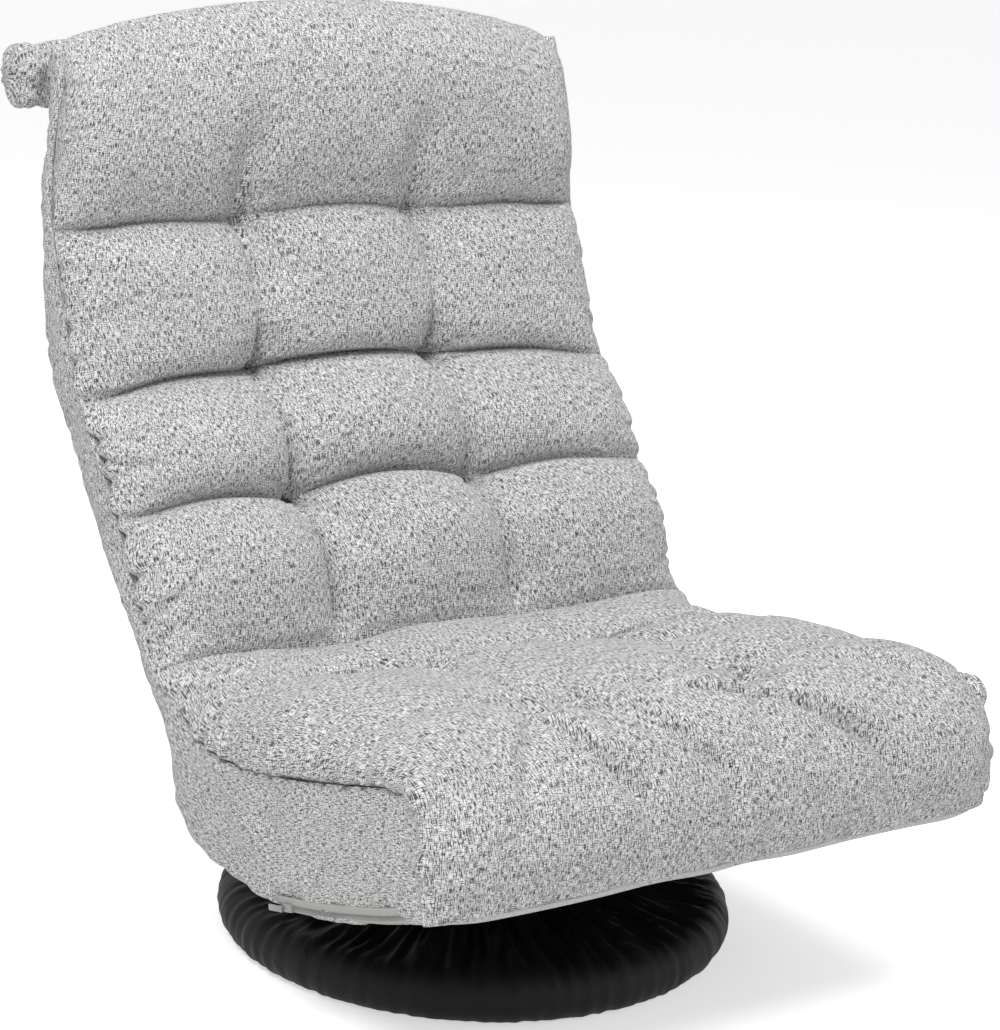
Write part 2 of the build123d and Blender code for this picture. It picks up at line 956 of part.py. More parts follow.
def make_back_topper():
    base = back_foam_front + soft_gap
    top = tuft_neck_height
    bottom = on_socket(crease_valley, socket_radius + soft_gap)
    crease = (-crease_valley, bottom)
    seam = (-back_row, tuft_back_height)
    neck = (-neck_valley, top)
    side_view = profile(
        (-base, on_socket(base, socket_radius + soft_gap)),
        (-base, top),
        neck,
        ((-back_crest, (top + tuft_back_height) / 2), seam),
        ((-back_crest, (tuft_back_height + bottom) / 2), crease),
    )
    crown = -back_crest - crown_lead
    section = quilt_section(0, -back_channel, crown, -back_edge, pad_half)
    plan = drawn_plan([bottom - crease_tuck, tuft_back_height, top + soft_gap], pad_half, side_draw)
    lengthwise = extrude(section, top + overrun)
    facing = extrude(Plane.XZ * plan, back_crest + overrun, both=True)
    topper = across(side_view, pad_half) & lengthwise & facing
    for height in (tuft_back_height, tuft_neck_height):
        for column in (-tuft_column, tuft_column):
            place = Pos(column, -back_valley, height) * Rot(90, 0, 0)
            topper -= place * tuft_funnel(back_crest - back_valley)
    return topper - rod_x(-half, half, 0, back_length, head_socket + soft_gap)


# Head hinges and headrest, drawn round the head axis

def make_head_plate(side):
    axis = (0, back_length)
    strip = profile(
        (back_tube_depth - arm_strip_half, head_plate_start),
        (back_tube_depth + arm_strip_half, head_plate_start),
        (back_tube_depth + arm_strip_half, back_length),
        (back_tube_depth - arm_strip_half, back_length),
    )
    face = strip + Pos(*axis) * Circle(head_plate_radius)
    plate = plate_solid(side, head_plate_inner, head_plate, face)
    return plate - hinge_rod(side, 0, half, axis, head_rivet_radius + run_gap)


def make_head_arm(side):
    wheel = toothed_disc(head_tooth_root, head_tooth_tip, head_tooth_count)
    return ratchet_arm(
        side, head_arm_inner, head_arm_plate, wheel, head_arm_end, head_tube_depth / 2,
        head_tube_depth / 2, head_rivet_radius,
    )


def make_head_rivet(side):
    outer = head_arm_inner + head_arm_plate
    axis = (0, back_length)
    shank = hinge_rod(side, head_plate_inner, outer, axis, head_rivet_radius)
    inside = hinge_rod(
        side, head_plate_inner - rivet_head, head_plate_inner, axis, head_rivet_head_radius
    )
    outside = hinge_rod(side, outer, outer + rivet_head, axis, head_rivet_head_radius)
    return shank + inside + outside


def make_head_frame():
    path = FilletPolyline(
        (-head_tube_half, head_tube_depth, head_tube_low),
        (-head_tube_half, head_tube_depth, head_tube_top),
        (head_tube_half, head_tube_depth, head_tube_top),
        (head_tube_half, head_tube_depth, head_tube_low),
        radius=head_tube_bend,
    )
    start = Plane(path @ 0, z_dir=path % 0)
    return sweep(start * tube_section(head_tube / 2, head_tube_wall), path)


def make_head_foam():
    return slab(
        -head_foam_half, head_foam_half, head_foam_front,
        head_rear - cover_cloth - soft_gap, head_foam_low, head_foam_high,
    )


def head_outline(inset):
    """Side view of the headrest's cover, with its round lower end about the head axis."""
    rear = head_rear - inset
    radius = head_knuckle - inset
    front_low = on_socket(head_seam_low, radius)
    return profile(
        (-head_seam_low, front_low),
        (polar(radius, 190), polar(radius, 240)),
        (polar(radius, 285), (rear, -on_socket(rear, radius))),
        (rear, head_cover_top - inset),
        (-head_seam_high, head_cover_top - inset),
        ((-head_seam_mid, head_seam_mid_height), (-head_seam_low, front_low)),
    )


def make_head_cover():
    lining = head_outline(cover_cloth)
    cover = across(head_outline(0), half) - across(lining, inner_half)
    cover -= slab(
        -inner_half, inner_half, -overrun, head_foam_front, -overrun, head_cover_top + overrun
    )
    for side in (-1, 1):
        low, high = sorted((side * head_slot_inner, side * slot_outer))
        cover -= slab(low, high, -overrun, head_rear - cover_cloth, -overrun, 0)
    return cover


def make_head_pillow():
    back = head_cover_top + soft_gap
    foot = head_tuft_height + soft_gap
    front = head_foam_front - soft_gap
    side_view = profile(
        (front, foot),
        (front, back),
        (head_rear, back),
        (head_rear, pillow_back_height),
        ((pillow_top_back, pillow_top), (-pillow_brow, pillow_brow_height)),
        ((-pillow_crest, pillow_crest_height), (-head_tuft_valley, foot)),
    )
    section = profile(
        (-pad_half, -head_rear - overrun),
        (-pad_half, pillow_edge),
        ((0, pillow_crest), (pad_half, pillow_edge)),
        (pad_half, -head_rear - overrun),
    )
    lengthwise = extrude(mirror(section, Plane.XZ), pillow_top + overrun)
    arch = profile(
        (-pad_half, foot),
        (-pad_half, pillow_side_top),
        ((0, pillow_top), (pad_half, pillow_side_top)),
        (pad_half, foot),
    )
    facing = extrude(Plane.XZ * arch, deep_cut, both=True)
    return across(side_view, pad_half) & lengthwise & facing


def make_head_roll():
    shoulder = half - roll_nub
    outline = profile(
        (-half, 0),
        (-half, roll_nub),
        ((-half + roll_nub / 3, roll_end_radius - roll_nub / 3), (-shoulder, roll_shoulder)),
        ((0, roll_radius), (shoulder, roll_shoulder)),
        ((half - roll_nub / 3, roll_end_radius - roll_nub / 3), (half, roll_nub)),
        (half, 0),
    )
    roll = revolve(outline, Axis.X)
    return Pos(0, roll_depth, roll_height) * roll


def make_neck_pads():
    """Row of three pads in front of the head axis, in the headrest's frame."""
    foot = head_tuft_height
    front = head_foam_front - soft_gap
    side_view = profile(
        (front, -neck_heel),
        (front, foot),
        (-head_tuft_valley, foot),
        ((-neck_crest, (foot - neck_low) / 2), (-neck_crest, -neck_low)),
    )
    section = quilt_section(0, -back_channel, -neck_crown, -back_edge, pad_half)
    lengthwise = extrude(Pos(0, 0, -deep_cut) * section, foot + deep_cut * 2)
    pads = across(side_view, pad_half) & lengthwise
    below = Rot(head_lean - back_lean, 0, 0)
    reach = back_length - tuft_neck_height - soft_gap
    pads -= below * slab(-half, half, -deep_cut, overrun, -deep_cut, -reach)
    behind = -back_foam_front - soft_gap
    pads -= below * slab(-half, half, behind, overrun, -deep_cut, 0)
    for side in (-1, 1):
        low, high = sorted((side * head_slot_inner, side * (half + overrun)))
        pads -= rod_x(low, high, 0, 0, neck_slot_radius)
    return pads


# Zip

def make_zip_tape():
    outline = seat_outline()
    upper = offset(outline, soft_gap)
    lower = offset(outline, soft_gap + zip_thickness)
    band = across(lower, half + overrun) - across(upper, half + overrun)
    reach = slab(-half, -half + zip_width, -zip_front, -zip_rear, -overrun, seat_front_low)
    return band & reach


def make_zip_slider():
    top = -belly_drop - soft_gap - zip_thickness
    x = -half + zip_width / 2
    return slab(
        x - slider_width / 2, x + slider_width / 2, -zip_rear - slider_length, -zip_rear,
        top - slider_height, top - soft_gap,
    )


# Assembly

base_parts = {
    "base_ring": make_base_ring(),
    "base_arms": make_base_arms(),
    "base_sleeve": make_base_sleeve(),
    "base_cover": make_base_cover(),
    "hub_plate": make_hub_plate(),
    "lower_race": make_lower_race(),
    "bearing_balls": make_balls(),
    "swivel_pin": make_swivel_pin(),
    "swivel_nut": make_swivel_nut(),
    "hub_rivets": make_hub_rivets(),
    "upper_race": make_upper_race(),
    "bracket_bolts": make_bracket_bolts(),
    "swivel_bracket": make_swivel_bracket(),
}

seat_parts = {
    "seat_frame": make_seat_frame(),
    "seat_posts": pair(make_post),
    "seat_rails": make_rails(),
    "seat_webbing": make_seat_webbing(),
    "seat_foam": make_seat_foam(),
    "seat_topper": make_seat_topper(),
    "seat_cover": make_seat_cover(),
    "dust_cover": make_dust_cover(),
    "zip_tape": make_zip_tape(),
    "zip_slider": make_zip_slider(),
    "hinge_spacers": pair(make_hinge_spacer),
    "back_hinge_rivets": pair(make_hinge_rivet),
    "pawls": pair(make_pawl),
    "pawl_pins": pair(make_pawl_pin),
    "pawl_springs": pair(make_pawl_leaf),
}

back_parts = {
    "back_side_tubes": pair(make_back_tube),
    "back_cross_tubes": make_back_cross_tubes(),
    "back_webbing": make_back_webbing(),
    "back_foam": make_back_foam(),
    "back_cover": make_back_cover(),
    "back_topper": make_back_topper(),
    "head_hinge_rivets": pair(make_head_rivet),
}

head_parts = {
    "head_frame": make_head_frame(),
    "head_foam": make_head_foam(),
    "head_cover": make_head_cover(),
    "head_pillow": make_head_pillow(),
    "head_roll": make_head_roll(),
    "neck_pads": make_neck_pads(),
}

for side, name in ((-1, "left"), (1, "right")):
    seat_parts["inner_cheek_" + name] = make_inner_cheek(side)
    seat_parts["outer_cheek_" + name] = make_outer_cheek(side)
    back_parts["back_arm_" + name] = make_back_arm(side)
    back_parts["head_plate_" + name] = make_head_plate(side)
    head_parts["head_arm_" + name] = make_head_arm(side)

os.makedirs("parts", exist_ok=True)
groups = (
    (Location(), base_parts),
    (seat_place, seat_parts),
    (back_place, back_parts),
    (head_place, head_parts),
)
for place, parts in groups:
    for name, part in parts.items():
        export_step(place * part, "parts/" + name + ".step")
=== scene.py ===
import json
import math

import bpy
import numpy as np
from mathutils import Matrix, Vector

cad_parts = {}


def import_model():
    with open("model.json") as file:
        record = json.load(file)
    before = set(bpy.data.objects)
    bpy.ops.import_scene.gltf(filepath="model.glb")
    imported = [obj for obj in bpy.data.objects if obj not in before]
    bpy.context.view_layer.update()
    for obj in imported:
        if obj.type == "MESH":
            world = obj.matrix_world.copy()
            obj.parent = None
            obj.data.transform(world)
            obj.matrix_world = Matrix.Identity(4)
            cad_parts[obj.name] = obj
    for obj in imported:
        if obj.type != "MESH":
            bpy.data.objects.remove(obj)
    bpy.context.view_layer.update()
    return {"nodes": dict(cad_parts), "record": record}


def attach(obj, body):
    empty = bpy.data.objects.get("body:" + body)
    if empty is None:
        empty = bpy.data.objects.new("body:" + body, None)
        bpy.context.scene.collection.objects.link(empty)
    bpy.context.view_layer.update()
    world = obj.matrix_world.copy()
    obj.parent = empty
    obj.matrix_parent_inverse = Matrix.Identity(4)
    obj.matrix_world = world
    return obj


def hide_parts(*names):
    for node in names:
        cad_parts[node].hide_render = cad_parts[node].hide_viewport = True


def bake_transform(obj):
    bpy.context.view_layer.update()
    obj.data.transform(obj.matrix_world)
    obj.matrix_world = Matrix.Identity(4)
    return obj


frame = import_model()
nodes = frame["nodes"]


# Places, in metres, as (back, up) pairs in the chair's side view

def cos_sin(degrees):
    return math.cos(math.radians(degrees)), math.sin(math.radians(degrees))


def turned(origin, lean):
    """Function from a leaning frame's own depth and height to world back and up."""
    c, s = cos_sin(lean)

    def place(depth, height):
        return (origin[0] + depth * c + height * s, origin[1] - depth * s + height * c)

    return place


# how far each frame leans back, in degrees
SEAT_LEAN, BACK_LEAN, HEAD_LEAN = 10.0, 38.8, 8.0
BACK_LENGTH = 0.359
on_seat = turned((0.0, 0.106), SEAT_LEAN)
hinge = on_seat(0.028, 0.090)
on_back = turned(hinge, BACK_LEAN)
neck = on_back(0.0, BACK_LENGTH)
on_head = turned(neck, HEAD_LEAN)


def spline(knots, values, at):
    """Smooth curve through values at knots, monotone between them."""
    knots = np.asarray(knots, float)
    values = np.asarray(values, float)
    flat = values.reshape(len(knots), -1)
    step = np.diff(knots)
    slope = np.diff(flat, axis=0) / step[:, None]
    tangent = np.zeros_like(flat)
    tangent[1:-1] = (slope[:-1] * step[1:, None] + slope[1:] * step[:-1, None]) / (
        step[:-1] + step[1:]
    )[:, None]
    tangent[0], tangent[-1] = slope[0], slope[-1]
    at = np.asarray(at, float)
    i = np.clip(np.searchsorted(knots, at, side="right") - 1, 0, len(knots) - 2)
    t = ((at - knots[i]) / step[i])[:, None]
    h = step[i][:, None]
    out = (
        flat[i] * (2 * t**3 - 3 * t**2 + 1)
        + tangent[i] * h * (t**3 - 2 * t**2 + t)
        + flat[i + 1] * (-2 * t**3 + 3 * t**2)
        + tangent[i + 1] * h * (t**3 - t**2)
    )
    return out.reshape((len(at),) + values.shape[1:])


def mm(*pairs):
    return [(a / 1000, b / 1000) for a, b in pairs]


def travelled(line):
    """Distance of each point of a row from its first one, along the row."""
    return np.concatenate([[0], np.cumsum(np.linalg.norm(np.diff(line, axis=0), axis=1))])


def unit(vectors):
    return vectors / np.maximum(np.linalg.norm(vectors, axis=-1, keepdims=True), 1e-9)


def index_at(line, at):
    """Which value of a line is nearest to one."""
    return int(np.argmin(abs(line - at)))


def from_ends(count):
    """How many steps each item of a row is from its nearer end."""
    return np.minimum(np.arange(count), np.arange(count)[::-1])


def circle(count):
    return np.linspace(0, 2 * math.pi, count, endpoint=False)


# Mesh helpers

def grid_faces(rows, columns, flip=False):
    faces = []
    for r in range(rows - 1):
        for c in range(columns - 1):
            a = r * columns + c
            quad = (a, a + 1, a + columns + 1, a + columns)
            faces.append(quad[::-1] if flip else quad)
    return faces


def ring_faces(rows, around, flip=False):
    """Faces of a tube whose rows of points each close on themselves."""
    faces = []
    for r in range(rows - 1):
        for c in range(around):
            a, b = r * around + c, r * around + (c + 1) % around
            faces.append((a, a + around, b + around, b) if flip else (a, b, b + around, a + around))
    return faces


def tube_faces(rows, around, flip=False):
    """Faces of such a tube with both ends closed."""
    ends = [tuple(range(around))[::-1], tuple(range((rows - 1) * around, rows * around))]
    return ring_faces(rows, around, flip) + [end[::-1] if flip else end for end in ends]


def shifted(faces, by):
    return [tuple(i + by for i in face) for face in faces]


def new_mesh(name, points, faces, uvs=None, smooth=True):
    """Object from points and cloth places, each a list or a grid."""
    mesh = bpy.data.meshes.new(name)
    mesh.from_pydata([tuple(p) for p in np.reshape(points, (-1, 3))], [], faces)
    mesh.update()
    if uvs is not None:
        layer = mesh.uv_layers.new(name="cloth")
        index = np.zeros(len(mesh.loops), np.int32)
        mesh.loops.foreach_get("vertex_index", index)
        places = np.reshape(uvs, (-1, 2)).astype(np.float32)
        layer.data.foreach_set("uv", places[index].ravel())
    if smooth:
        mesh.polygons.foreach_set("use_smooth", [True] * len(mesh.polygons))
    obj = bpy.data.objects.new(name, mesh)
    bpy.context.scene.collection.objects.link(obj)
    return obj


def coords_of(obj):
    dg = bpy.context.evaluated_depsgraph_get()
    mesh = obj.evaluated_get(dg).data
    co = np.zeros(len(mesh.vertices) * 3, np.float32)
    mesh.vertices.foreach_get("co", co)
    return co.reshape(-1, 3).astype(float)


def baked(obj):
    """Applies the modifiers of an object."""
    dg = bpy.context.evaluated_depsgraph_get()
    mesh = bpy.data.meshes.new_from_object(obj.evaluated_get(dg), depsgraph=dg)
    old = obj.data
    obj.modifiers.clear()
    obj.data = mesh
    bpy.data.meshes.remove(old)
    return obj


def subdivided(obj):
    m = obj.modifiers.new("soft", "SUBSURF")
    m.levels = m.render_levels = 1
    m.boundary_smooth = "PRESERVE_CORNERS"
    return baked(obj)


def thickened(obj, thickness, offset=-1):
    """Cloth of a real thickness, inwards of its surface unless the offset says otherwise."""
    m = obj.modifiers.new("cloth", "SOLIDIFY")
    m.thickness = thickness
    m.offset = offset
    return baked(obj)


# The padded front, one quilted surface from the back of the headrest down to the front hem
# Columns run across, rows run along. Sewn tufts sit where the rows meet the tuft columns.

HALF = 0.275
TUFT_X = 0.093
TUFT_COLUMNS = (-TUFT_X, TUFT_X)
# where the rounded edges start inside the half width, and their length along the cloth
EDGE_INSIDE = 0.03
EDGE_ARC = 0.055
GRID_STEP = 0.005

# station name, crest line, tuft line, side seam, as (back, up) in mm
STATIONS = [
    ("rear", (333, 704), (333, 704), (331, 702)),
    ("corner", (341, 733), (338, 731), (334, 728)),
    ("top", (321, 751), (320, 748), (318, 741)),
    ("brow", (290, 735), (296, 732), (299, 727)),
    ("pillow", (256, 655), (272, 657), (295, 668)),
    ("seam1", (246, 592), (294, 587), (286, 590)),
    ("neckpad", (228, 512), (255, 512), (259, 512)),
    ("seam2", (200, 462), (264, 458), (232, 462)),
    ("highpad", (172, 432), (212, 408), (203, 425)),
    ("seam3", (134, 384), (190, 350), (163, 372)),
    ("lowpad", (94, 333), (140, 306), (122, 312)),
    ("crease", (56, 270), (83, 251), (84, 251)),
    ("rearpad", (26, 263), (30, 245), (28, 216)),
    ("seam5", (-24, 271), (-23, 240), (-40, 207)),
    ("seatpad", (-114, 288), (-118, 258), (-141, 226)),
    ("seam6", (-214, 301), (-216, 272), (-212, 245)),
    ("frontpad", (-272, 304), (-272, 286), (-275, 262)),
    ("brow2", (-324, 272), (-320, 268), (-306, 267)),
    ("nose", (-351, 220), (-348, 220), (-318, 216)),
    ("hem", (-337, 175), (-336, 175), (-324, 174)),
]
ROW_NAMES = ["seam1", "seam2", "seam3", "crease", "seam5", "seam6"]

names = [s[0] for s in STATIONS]
crest = np.array(mm(*[s[1] for s in STATIONS]))
tuft = np.array(mm(*[s[2] for s in STATIONS]))
seam = np.array(mm(*[s[3] for s in STATIONS]))
along = travelled(crest)
row_at = [along[names.index(n)] for n in ROW_NAMES]
# how far the pads' long edges overhang the side panels, in metres along the cloth
LIP_AT = [0.05, 0.10, 0.24, 0.62, 0.72]
LIP_SIZE = [-0.004, 0.0, 0.001, 0.002, 0.008]
ARCHED = ["rear", "corner", "top", "brow", "pillow", "seam1"]
# how deep the sewn line stays, as a share of the tuft's depth: between tufts, and at the side
ROW_MID = dict(zip(ROW_NAMES, (0.66, 0.66, 0.66, 0.75, 0.5, 0.45)))
ROW_SIDE = dict(zip(ROW_NAMES, (0.72, 0.40, 0.35, 0.60, 0.2, 0.15)))
# how far a sewn line bows up between the tufts, and drops at the side, in metres
ROW_BOW = dict(zip(ROW_NAMES, (0.009, 0.009, 0.012, 0.004, 0.005, 0.006)))
ROW_DROP = dict(zip(ROW_NAMES, (0.002, 0.013, 0.010, 0.0, 0.004, 0.0)))
# half width of the front, and where its rounded edge starts, along the cloth
WIDTH_AT = [0.0, 0.057, 0.130, 0.180, 0.243]
WIDTH = [0.257, 0.262, 0.262, 0.268, 0.275]
TURN_AT = [0.0, 0.20, 0.30, 0.60, 0.72, 0.98, 1.05]
TURN = [0.040, 0.044, 0.062, 0.062, 0.072, 0.074, 0.034]


def bowed(x, v):
    """How far along the cloth each point of the grid slides, so that the sewn lines curve."""
    ax = abs(x)
    inner = np.clip(1 - (ax / TUFT_X) ** 2, 0, 1)
    t = np.clip((ax - TUFT_X) / (HALF - TUFT_X), 0, 1)
    outer = np.sin(math.pi * t) ** 2
    knots = [0.0] + row_at + [along[-1]]
    values = [np.zeros_like(ax)]
    for name in ROW_NAMES:
        values.append(ROW_DROP[name] * t**2.5 - ROW_BOW[name] * (inner + 0.35 * outer))
    values.append(np.zeros_like(ax))
    return spline(knots, np.array(values), v)


def quilt(spacing):
    """Rest shape of the padded front as a grid of points, its sewn rows and cloth places."""
    rows = int(round(along[-1] / spacing)) + 1
    v = np.linspace(0, along[-1], rows)
    # keep a row of points exactly on each sewn line
    sewn = []
    for at in row_at:
        k = index_at(v, at)
        v[k] = at
        sewn.append(k)
    total = HALF - EDGE_INSIDE + EDGE_ARC
    columns = 2 * int(round(total / spacing)) + 1
    u = np.linspace(-total, total, columns)
    for at in TUFT_COLUMNS:
        u[index_at(u, at)] = at
    turn = np.interp(v, TURN_AT, TURN)[:, None]
    flat_to = HALF - turn
    theta = np.clip((abs(u)[None, :] - flat_to) / (total - flat_to), 0, 1) * math.pi / 2
    x_all = np.where(
        abs(u)[None, :] < flat_to, abs(u)[None, :], flat_to + turn * np.sin(theta) ** 0.85
    ) * np.sign(u)[None, :]
    rise = np.cos(theta) ** 0.95
    x = x_all[len(v) // 2]
    slid = np.clip(v[:, None] + bowed(x, v), 0, along[-1]).ravel()
    K, T, E = (spline(along, line, slid).reshape(rows, columns, 2) for line in (crest, tuft, seam))

    # share of each pad's crown, from the sewn lines
    ends = [0.0] + row_at + [along[-1]]
    hb = np.zeros(rows)
    mid = np.zeros(rows)
    side = np.zeros(rows)
    mids = [1.0] + [ROW_MID[n] for n in ROW_NAMES] + [1.0]
    sides = [1.0] + [ROW_SIDE[n] for n in ROW_NAMES] + [1.0]
    for i, (lo, hi) in enumerate(zip(ends, ends[1:])):
        k = (v >= lo) & (v <= hi)
        b = (v[k] - lo) / (hi - lo)
        if i == 0:
            hb[k] = np.sqrt(1 - np.clip((b - 0.45) / 0.55, 0, 1) ** 2)
            mid[k], side[k] = mids[1], sides[1]
        elif i == len(ends) - 2:
            hb[k] = np.sqrt(1 - np.clip((0.5 - b) / 0.5, 0, 1) ** 2)
            mid[k], side[k] = mids[-2], sides[-2]
        else:
            hb[k] = np.sqrt(np.clip(4 * b * (1 - b), 0, 1))
            mid[k] = mids[i] + (mids[i + 1] - mids[i]) * b
            side[k] = sides[i] + (sides[i + 1] - sides[i]) * b
    ax = abs(x)
    inner = ax <= TUFT_X
    a = np.where(inner, (ax + TUFT_X) / (2 * TUFT_X), np.clip((ax - TUFT_X) / 0.085, 0, 1))
    ha = np.where(inner, np.sqrt(np.clip(4 * a * (1 - a), 0, 1)), np.sqrt(1 - (1 - a) ** 2))
    out = np.clip((ax - TUFT_X) / (HALF - TUFT_X), 0, 1)

    HA, HB = np.meshgrid(ha, hb)
    OUT = np.broadcast_to(out, HA.shape)
    line = mid[:, None] + (side - mid)[:, None] * OUT
    c1 = 1 - line
    # the line between two columns lies deep on the back and shallower on the seat
    c2 = np.interp(v, [row_at[0] - 0.03, row_at[0], row_at[3], row_at[4]], [0.7, 0.36, 0.36, 0.44])
    c2 = c2[:, None]
    # the tuft columns fade out over the top and under the front
    above = along[names.index("pillow")]
    fade = np.clip((v - above) / (row_at[0] - above), 0, 1) * np.clip((along[-1] - v) / 0.16, 0, 1)
    fade = fade * fade * (3 - 2 * fade)
    HA = 1 - (1 - HA) * fade[:, None]
    w = 1 - (c1 * HA + c2 * HB + (1 - c1 - c2) * HA * HB)
    P = K + (T - K) * w[:, :, None]
    P = E + (P - E) * rise[:, :, None]
    lip = np.sin(math.pi * (2 * theta / math.pi) ** 2.5)
    overhang = np.interp(v, LIP_AT, LIP_SIZE)
    wide = np.interp(v, WIDTH_AT, WIDTH)[:, None] / HALF
    X = x_all * wide + np.sign(x_all) * (overhang[:, None] * lip - 0.003 * (theta > 1.5))
    arch = 0.034 * (1 - np.clip(ax / HALF, 0, 1) ** 2) - 0.006
    share = np.interp(v, [along[names.index(n)] for n in ARCHED], [0.0, 0.7, 1.0, 0.9, 0.2, 0.0])
    points = np.dstack([X, P[:, :, 0], P[:, :, 1] + share[:, None] * arch])
    return points, sewn, u, v


def pinned(points, sewn, u):
    """How firmly each point of the front is held: seams and tufts fast, sewn lines softly."""
    rows, columns = points.shape[:2]
    pin = np.zeros((rows, columns))
    pin[0], pin[-1] = 1, 1
    pin[:, 0], pin[:, -1] = 1, 1
    for name, k in zip(ROW_NAMES, sewn):
        pin[k] = np.maximum(pin[k], {"seam1": 1.0, "crease": 0.8}.get(name, 0.35))
        for at in TUFT_COLUMNS:
            c = index_at(u, at)
            pin[k - 1 : k + 2, c - 1 : c + 2] = np.maximum(pin[k - 1 : k + 2, c - 1 : c + 2], 0.7)
            pin[k, c] = 1
    for at in TUFT_COLUMNS:
        c = index_at(u, at)
        pin[sewn[0] : sewn[3], c] = np.maximum(pin[sewn[0] : sewn[3], c], 0.3)
        pin[sewn[3] : sewn[5], c] = np.maximum(pin[sewn[3] : sewn[5], c], 0.12)
    return pin


CLOTH = {
    "quality": 6, "mass": 0.12, "air_damping": 2,
    "tension_stiffness": 30, "compression_stiffness": 20, "shear_stiffness": 12,
    "bending_stiffness": 1.2, "tension_damping": 8, "compression_damping": 8,
    "shear_damping": 8, "bending_damping": 1, "pin_stiffness": 1.5,
    "shrink_min": -0.01, "use_pressure": True,
}


def inflate(obj, pin, frames, growth, pressure, cap, spread):
    """Cloth simulation of a puffed and gathered skin. Returns the settled points."""
    start = np.array([v.co for v in obj.data.vertices], float)
    group = obj.vertex_groups.new(name="held")
    flat = pin.ravel()
    for value in np.unique(flat):
        if value > 0:
            group.add([int(i) for i in np.nonzero(flat == value)[0]], float(value), "REPLACE")
    cloth = obj.modifiers.new("cloth", "CLOTH")
    s = cloth.settings
    for name, value in CLOTH.items():
        setattr(s, name, value)
    s.vertex_group_mass = "held"
    s.shrink_max = -growth
    swell = obj.vertex_groups.new(name="swell")
    for value in np.unique(spread):
        swell.add([int(i) for i in np.nonzero(spread == value)[0]], float(value), "REPLACE")
    s.vertex_group_shrink = "swell"
    s.uniform_pressure_force = pressure
    s.effector_weights.gravity = 0
    cloth.collision_settings.use_collision = False
    cloth.collision_settings.use_self_collision = False
    cloth.point_cache.frame_start = 1
    cloth.point_cache.frame_end = frames
    scene = bpy.context.scene
    for f in range(1, frames + 1):
        scene.frame_set(f)
    end = coords_of(obj)
    obj.modifiers.remove(cloth)
    scene.frame_set(1)
    move = end - start
    far = np.linalg.norm(move, axis=1)
    return start + move * np.minimum(1, cap / np.maximum(far, 1e-9))[:, None]


points, sewn, u_line, v_line = quilt(GRID_STEP)
rows, columns = points.shape[:2]
front = new_mesh("front", points, grid_faces(rows, columns, True))
swell_at = np.interp(v_line, [0.17, 0.28, 0.60, 0.75, 1.0, 1.1], [0.05, 1.0, 1.0, 0.7, 0.7, 0.4])
swell_at = np.repeat(np.round(swell_at, 2), columns)
settled = inflate(
    front, pinned(points, sewn, u_line), frames=26, growth=0.07, pressure=3.0, cap=0.022,
    spread=swell_at,
)


def eased(values, times, axis):
    """Neighbours averaged along one axis of a grid, a number of times."""
    values = np.moveaxis(values, axis, 0)
    for _ in range(times):
        inner = (values[:-2] + 2 * values[1:-1] + values[2:]) / 4
        values = np.concatenate([values[:1], inner, values[-1:]])
    return np.moveaxis(values, 0, axis)


# the pillow's top stays smooth, and the long edges lose their finest buckles
moved = settled.reshape(rows, columns, 3) - points
moved = eased(eased(moved, 2, 0), 2, 1)
near_edge = np.clip((abs(u_line) - (abs(u_line).max() - 0.070)) / 0.040, 0, 1)[None, :, None]
moved = moved + (eased(moved, 14, 0) - moved) * near_edge
near_top = np.clip((0.215 - v_line) / 0.075, 0, 1)[:, None, None]
moved = moved + (eased(eased(moved, 90, 1), 20, 0) - moved) * near_top
grid = points + moved
bpy.data.objects.remove(front)


# Finer grid, with the short gathers at the edges and the folds that run from the tufts

def finer(values):
    """Grid values with a new row and column between each two."""
    for axis in (0, 1):
        values = np.moveaxis(values, axis, 0)
        count = len(values)
        values = spline(np.arange(count), values, np.linspace(0, count - 1, 2 * count - 1))
        values = np.moveaxis(values, 0, axis)
    return values


def outward(points):
    """Unit normals of a grid whose rows run down the front and whose columns run to +X."""
    return unit(np.cross(np.gradient(points, axis=0), np.gradient(points, axis=1)))


